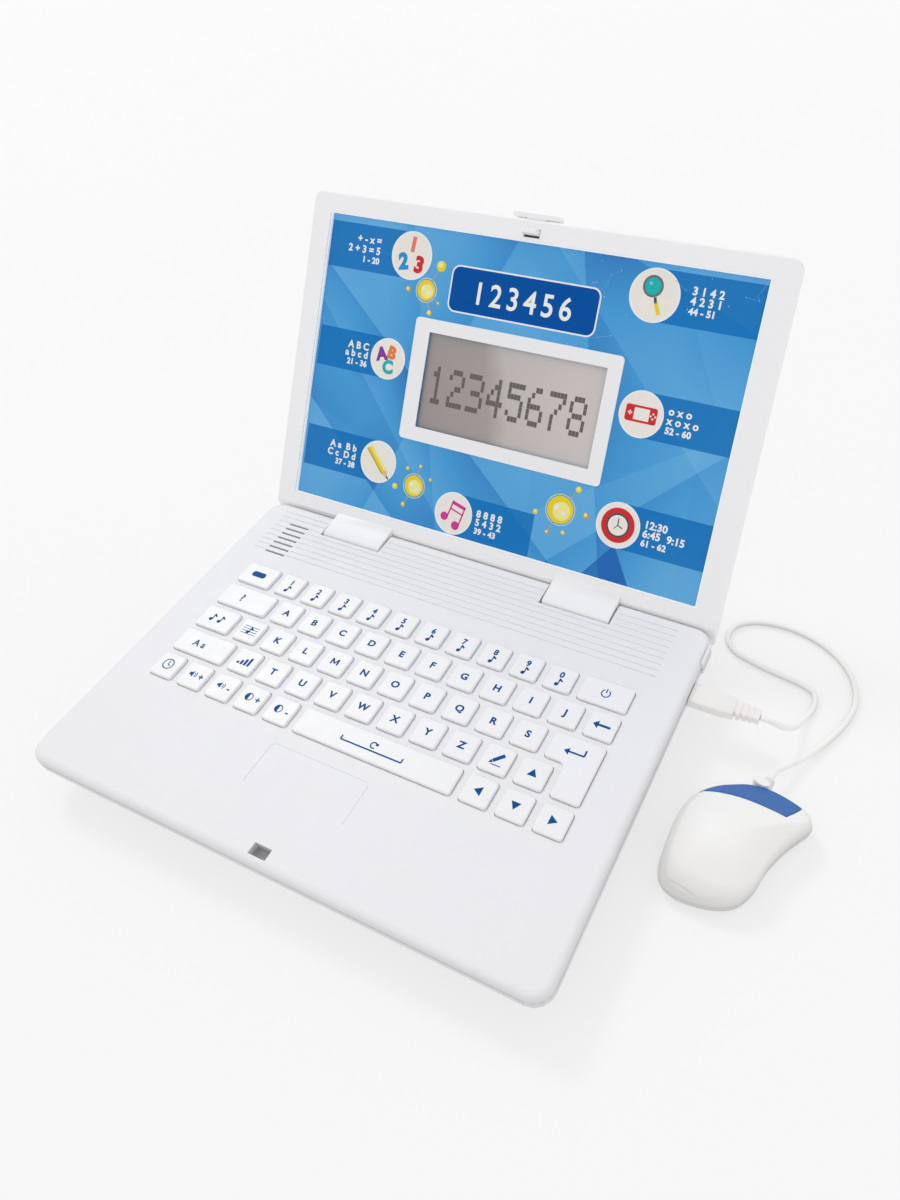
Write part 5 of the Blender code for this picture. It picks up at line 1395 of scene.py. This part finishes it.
# Share of the plan and, on the walls, share of the height; on the dome the share of the plan is enough.
MOUSE_WALL_RINGS = ((1.0, 0.0), (0.992, 0.30), (0.978, 0.60), (0.962, 0.84), (0.944, 0.97))
MOUSE_BASE_RINGS = ((0.900, 0.0), (0.945, 0.10), (0.975, 0.30), (0.993, 0.70), (1.0, 1.0))
MOUSE_DOME_RINGS = (0.925, 0.900, 0.865, 0.815, 0.745, 0.655, 0.545, 0.420, 0.285, 0.150, 0.050)
HUMP_Y = -6.0
CREASE_SHARE = 0.935


def closed_curve(points, ticks):
    """Points on the closed Catmull-Rom curve through the plan points."""
    count = len(points)
    dense = []
    for index in range(count):
        before, start, end, after = (Vector(points[(index + step) % count]) for step in (-1, 0, 1, 2))
        for tick in range(ticks):
            dense.append(bend(before, start, end, after, tick / ticks))
    return dense


def along_mouse(y, top, front, rear):
    """Height at y of a line over the mouse that is highest at the hump."""
    if y > HUMP_Y:
        return top + (front - top) * ((y - HUMP_Y) / 40.0) ** 2
    return top + (rear - top) * ((y - HUMP_Y) / 28.0) ** 2


def mouse_body(with_top):
    """Closed solid of the mouse's outer shape, above or below the joint of its shells."""
    plan = closed_curve(MOUSE_PLAN, 5)
    joint = MOUSE_SPLIT_Z / MM
    shape = bmesh.new()
    if with_top:
        levels = [(share, height, None) for share, height in MOUSE_WALL_RINGS]
        levels += [(share, 1.0, (share / CREASE_SHARE) ** 2.3) for share in MOUSE_DOME_RINGS]
    else:
        levels = [(share, height, None) for share, height in MOUSE_BASE_RINGS]
    rings = []
    for share, height, fall in levels:
        ring = []
        for point in plan:
            y = HUMP_Y + (point.y - HUMP_Y) * share
            x = point.x * share
            if with_top and point.x < 0.0:
                x = point.x * (share * 0.90 if fall is not None else 1.0 - (1.0 - share) * 2.7)
            crease = along_mouse(y, 17.0, 14.4, 8.6)
            if not with_top:
                z = height * (joint - GAP / MM / 2)
            elif fall is None:
                z = joint + GAP / MM / 2 + height * (crease - joint - 1.0)
            else:
                z = crease + (along_mouse(y, 26.7, 16.6, 11.6) - crease) * (1.0 - min(fall, 1.0))
            ring.append(shape.verts.new((x * MM, y * MM, z * MM)))
        rings.append(ring)
    loft(shape, rings)
    return shape


def button_block(grow, z0):
    """Upright block over the button's place."""
    corners = [((x * MM + grow if x > 15.0 else x * MM), y * MM - grow) for x, y in BUTTON_PLAN]
    shape = bmesh.new()
    slab(shape, corners, z0, 0.04)
    return shape


def cord_tab(grow):
    """Small oval tab over the cord's way out."""
    shape = bmesh.new()
    place = Matrix.Translation((-0.0016, 0.0312, 0.0124)) @ Matrix.Diagonal((1.0, 0.50, 1.0, 1.0))
    bmesh.ops.create_cone(shape, cap_ends=True, segments=32, radius1=0.0043 + grow, radius2=0.0040 + grow,
                          depth=0.0080, matrix=place)
    return shape


def cord_gland():
    """Short tapered sleeve in which the cord enters the mouse."""
    shape = bmesh.new()
    place = Matrix.Translation((0.0, 0.0344, CORD_IN_Z)) @ Matrix.Rotation(-math.pi / 2, 4, "X")
    bmesh.ops.create_cone(shape, cap_ends=True, segments=24, radius1=0.0030, radius2=0.0026, depth=0.0066,
                          matrix=place)
    return shape


def mouse_groove():
    """Tool for the short fine groove at the rear of the mouse."""
    lowered = mouse_body(True)
    bmesh.ops.translate(lowered, vec=(0.0, 0.0, -0.0003), verts=lowered.verts)
    tool = bmesh.new()
    slab(tool, rectangle(-0.0145, -0.0015, -0.0312, -0.0308), 0.006, 0.03)
    return carve(tool, lowered)


def mouse():
    upper = carve(mouse_body(True), button_block(GAP, BUTTON_Z))
    upper = carve(upper, cord_gland(), "UNION")
    upper = carve(upper, cord_tab(0.0), "UNION")
    upper = carve(upper, mouse_groove())
    bevel(upper, sharp_edges(upper, 50.0), 0.00025, 2)
    piece("mouse_cover", upper, MOUSE_WHITE, "mouse_lead", ["mouse_top_shell"], MOUSE,
          crease=38.0)
    cap = carve(mouse_body(True), button_block(0.0, BUTTON_Z + BUTTON_TRAVEL + GAP), "INTERSECT")
    tool = cord_tab(GAP)
    bmesh.ops.scale(tool, vec=(1.0, 1.0, 4.0), verts=tool.verts)
    cap = carve(cap, tool)
    bevel(cap, sharp_edges(cap, 50.0), 0.0003, 2)
    piece("mouse_blue_button", cap, MOUSE_BLUE, "mouse_button", ["mouse_button"], MOUSE,
          crease=38.0)
    piece("mouse_base", mouse_body(False), MOUSE_WHITE, "mouse_lead", ["mouse_bottom_shell"],
          MOUSE)


# ---------------------------------------------------------------- assembly
KEPT_NODES = (                          # CAD nodes that keep their shape and get their finish
    (WHITE, ("battery_door",)),
    (SHEET, ("picture_panel",)),
    (DISPLAY, ("display_module",)),
    (STEEL, ("battery_door_screw", "case_screw_left", "case_screw_right", "mouse_socket",
             "hinge_pin_left", "hinge_pin_right")),
    (SLEEVE, ("battery_1", "battery_2", "battery_3")),
    (BOARD, ("main_board", "mouse_board")),
    (RUBBER, ("key_mat",)),
    (BLACK, ("speaker",)),
)


def repaint():
    for finish, nodes in KEPT_NODES:
        for node in nodes:
            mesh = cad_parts[node].data
            mesh.materials.clear()
            mesh.materials.append(finish)


camera()
sheath, cord_exit, cord_length = mouse_cord()
grip = plug()
studio()
repaint()
deck()
side_rail()
latch_pocket()
shell_copies()
key_pieces()
legends()
window_frame()
picture_trim()
name_plate()
badges()
molecules()
network()
display_figures()
mouse()
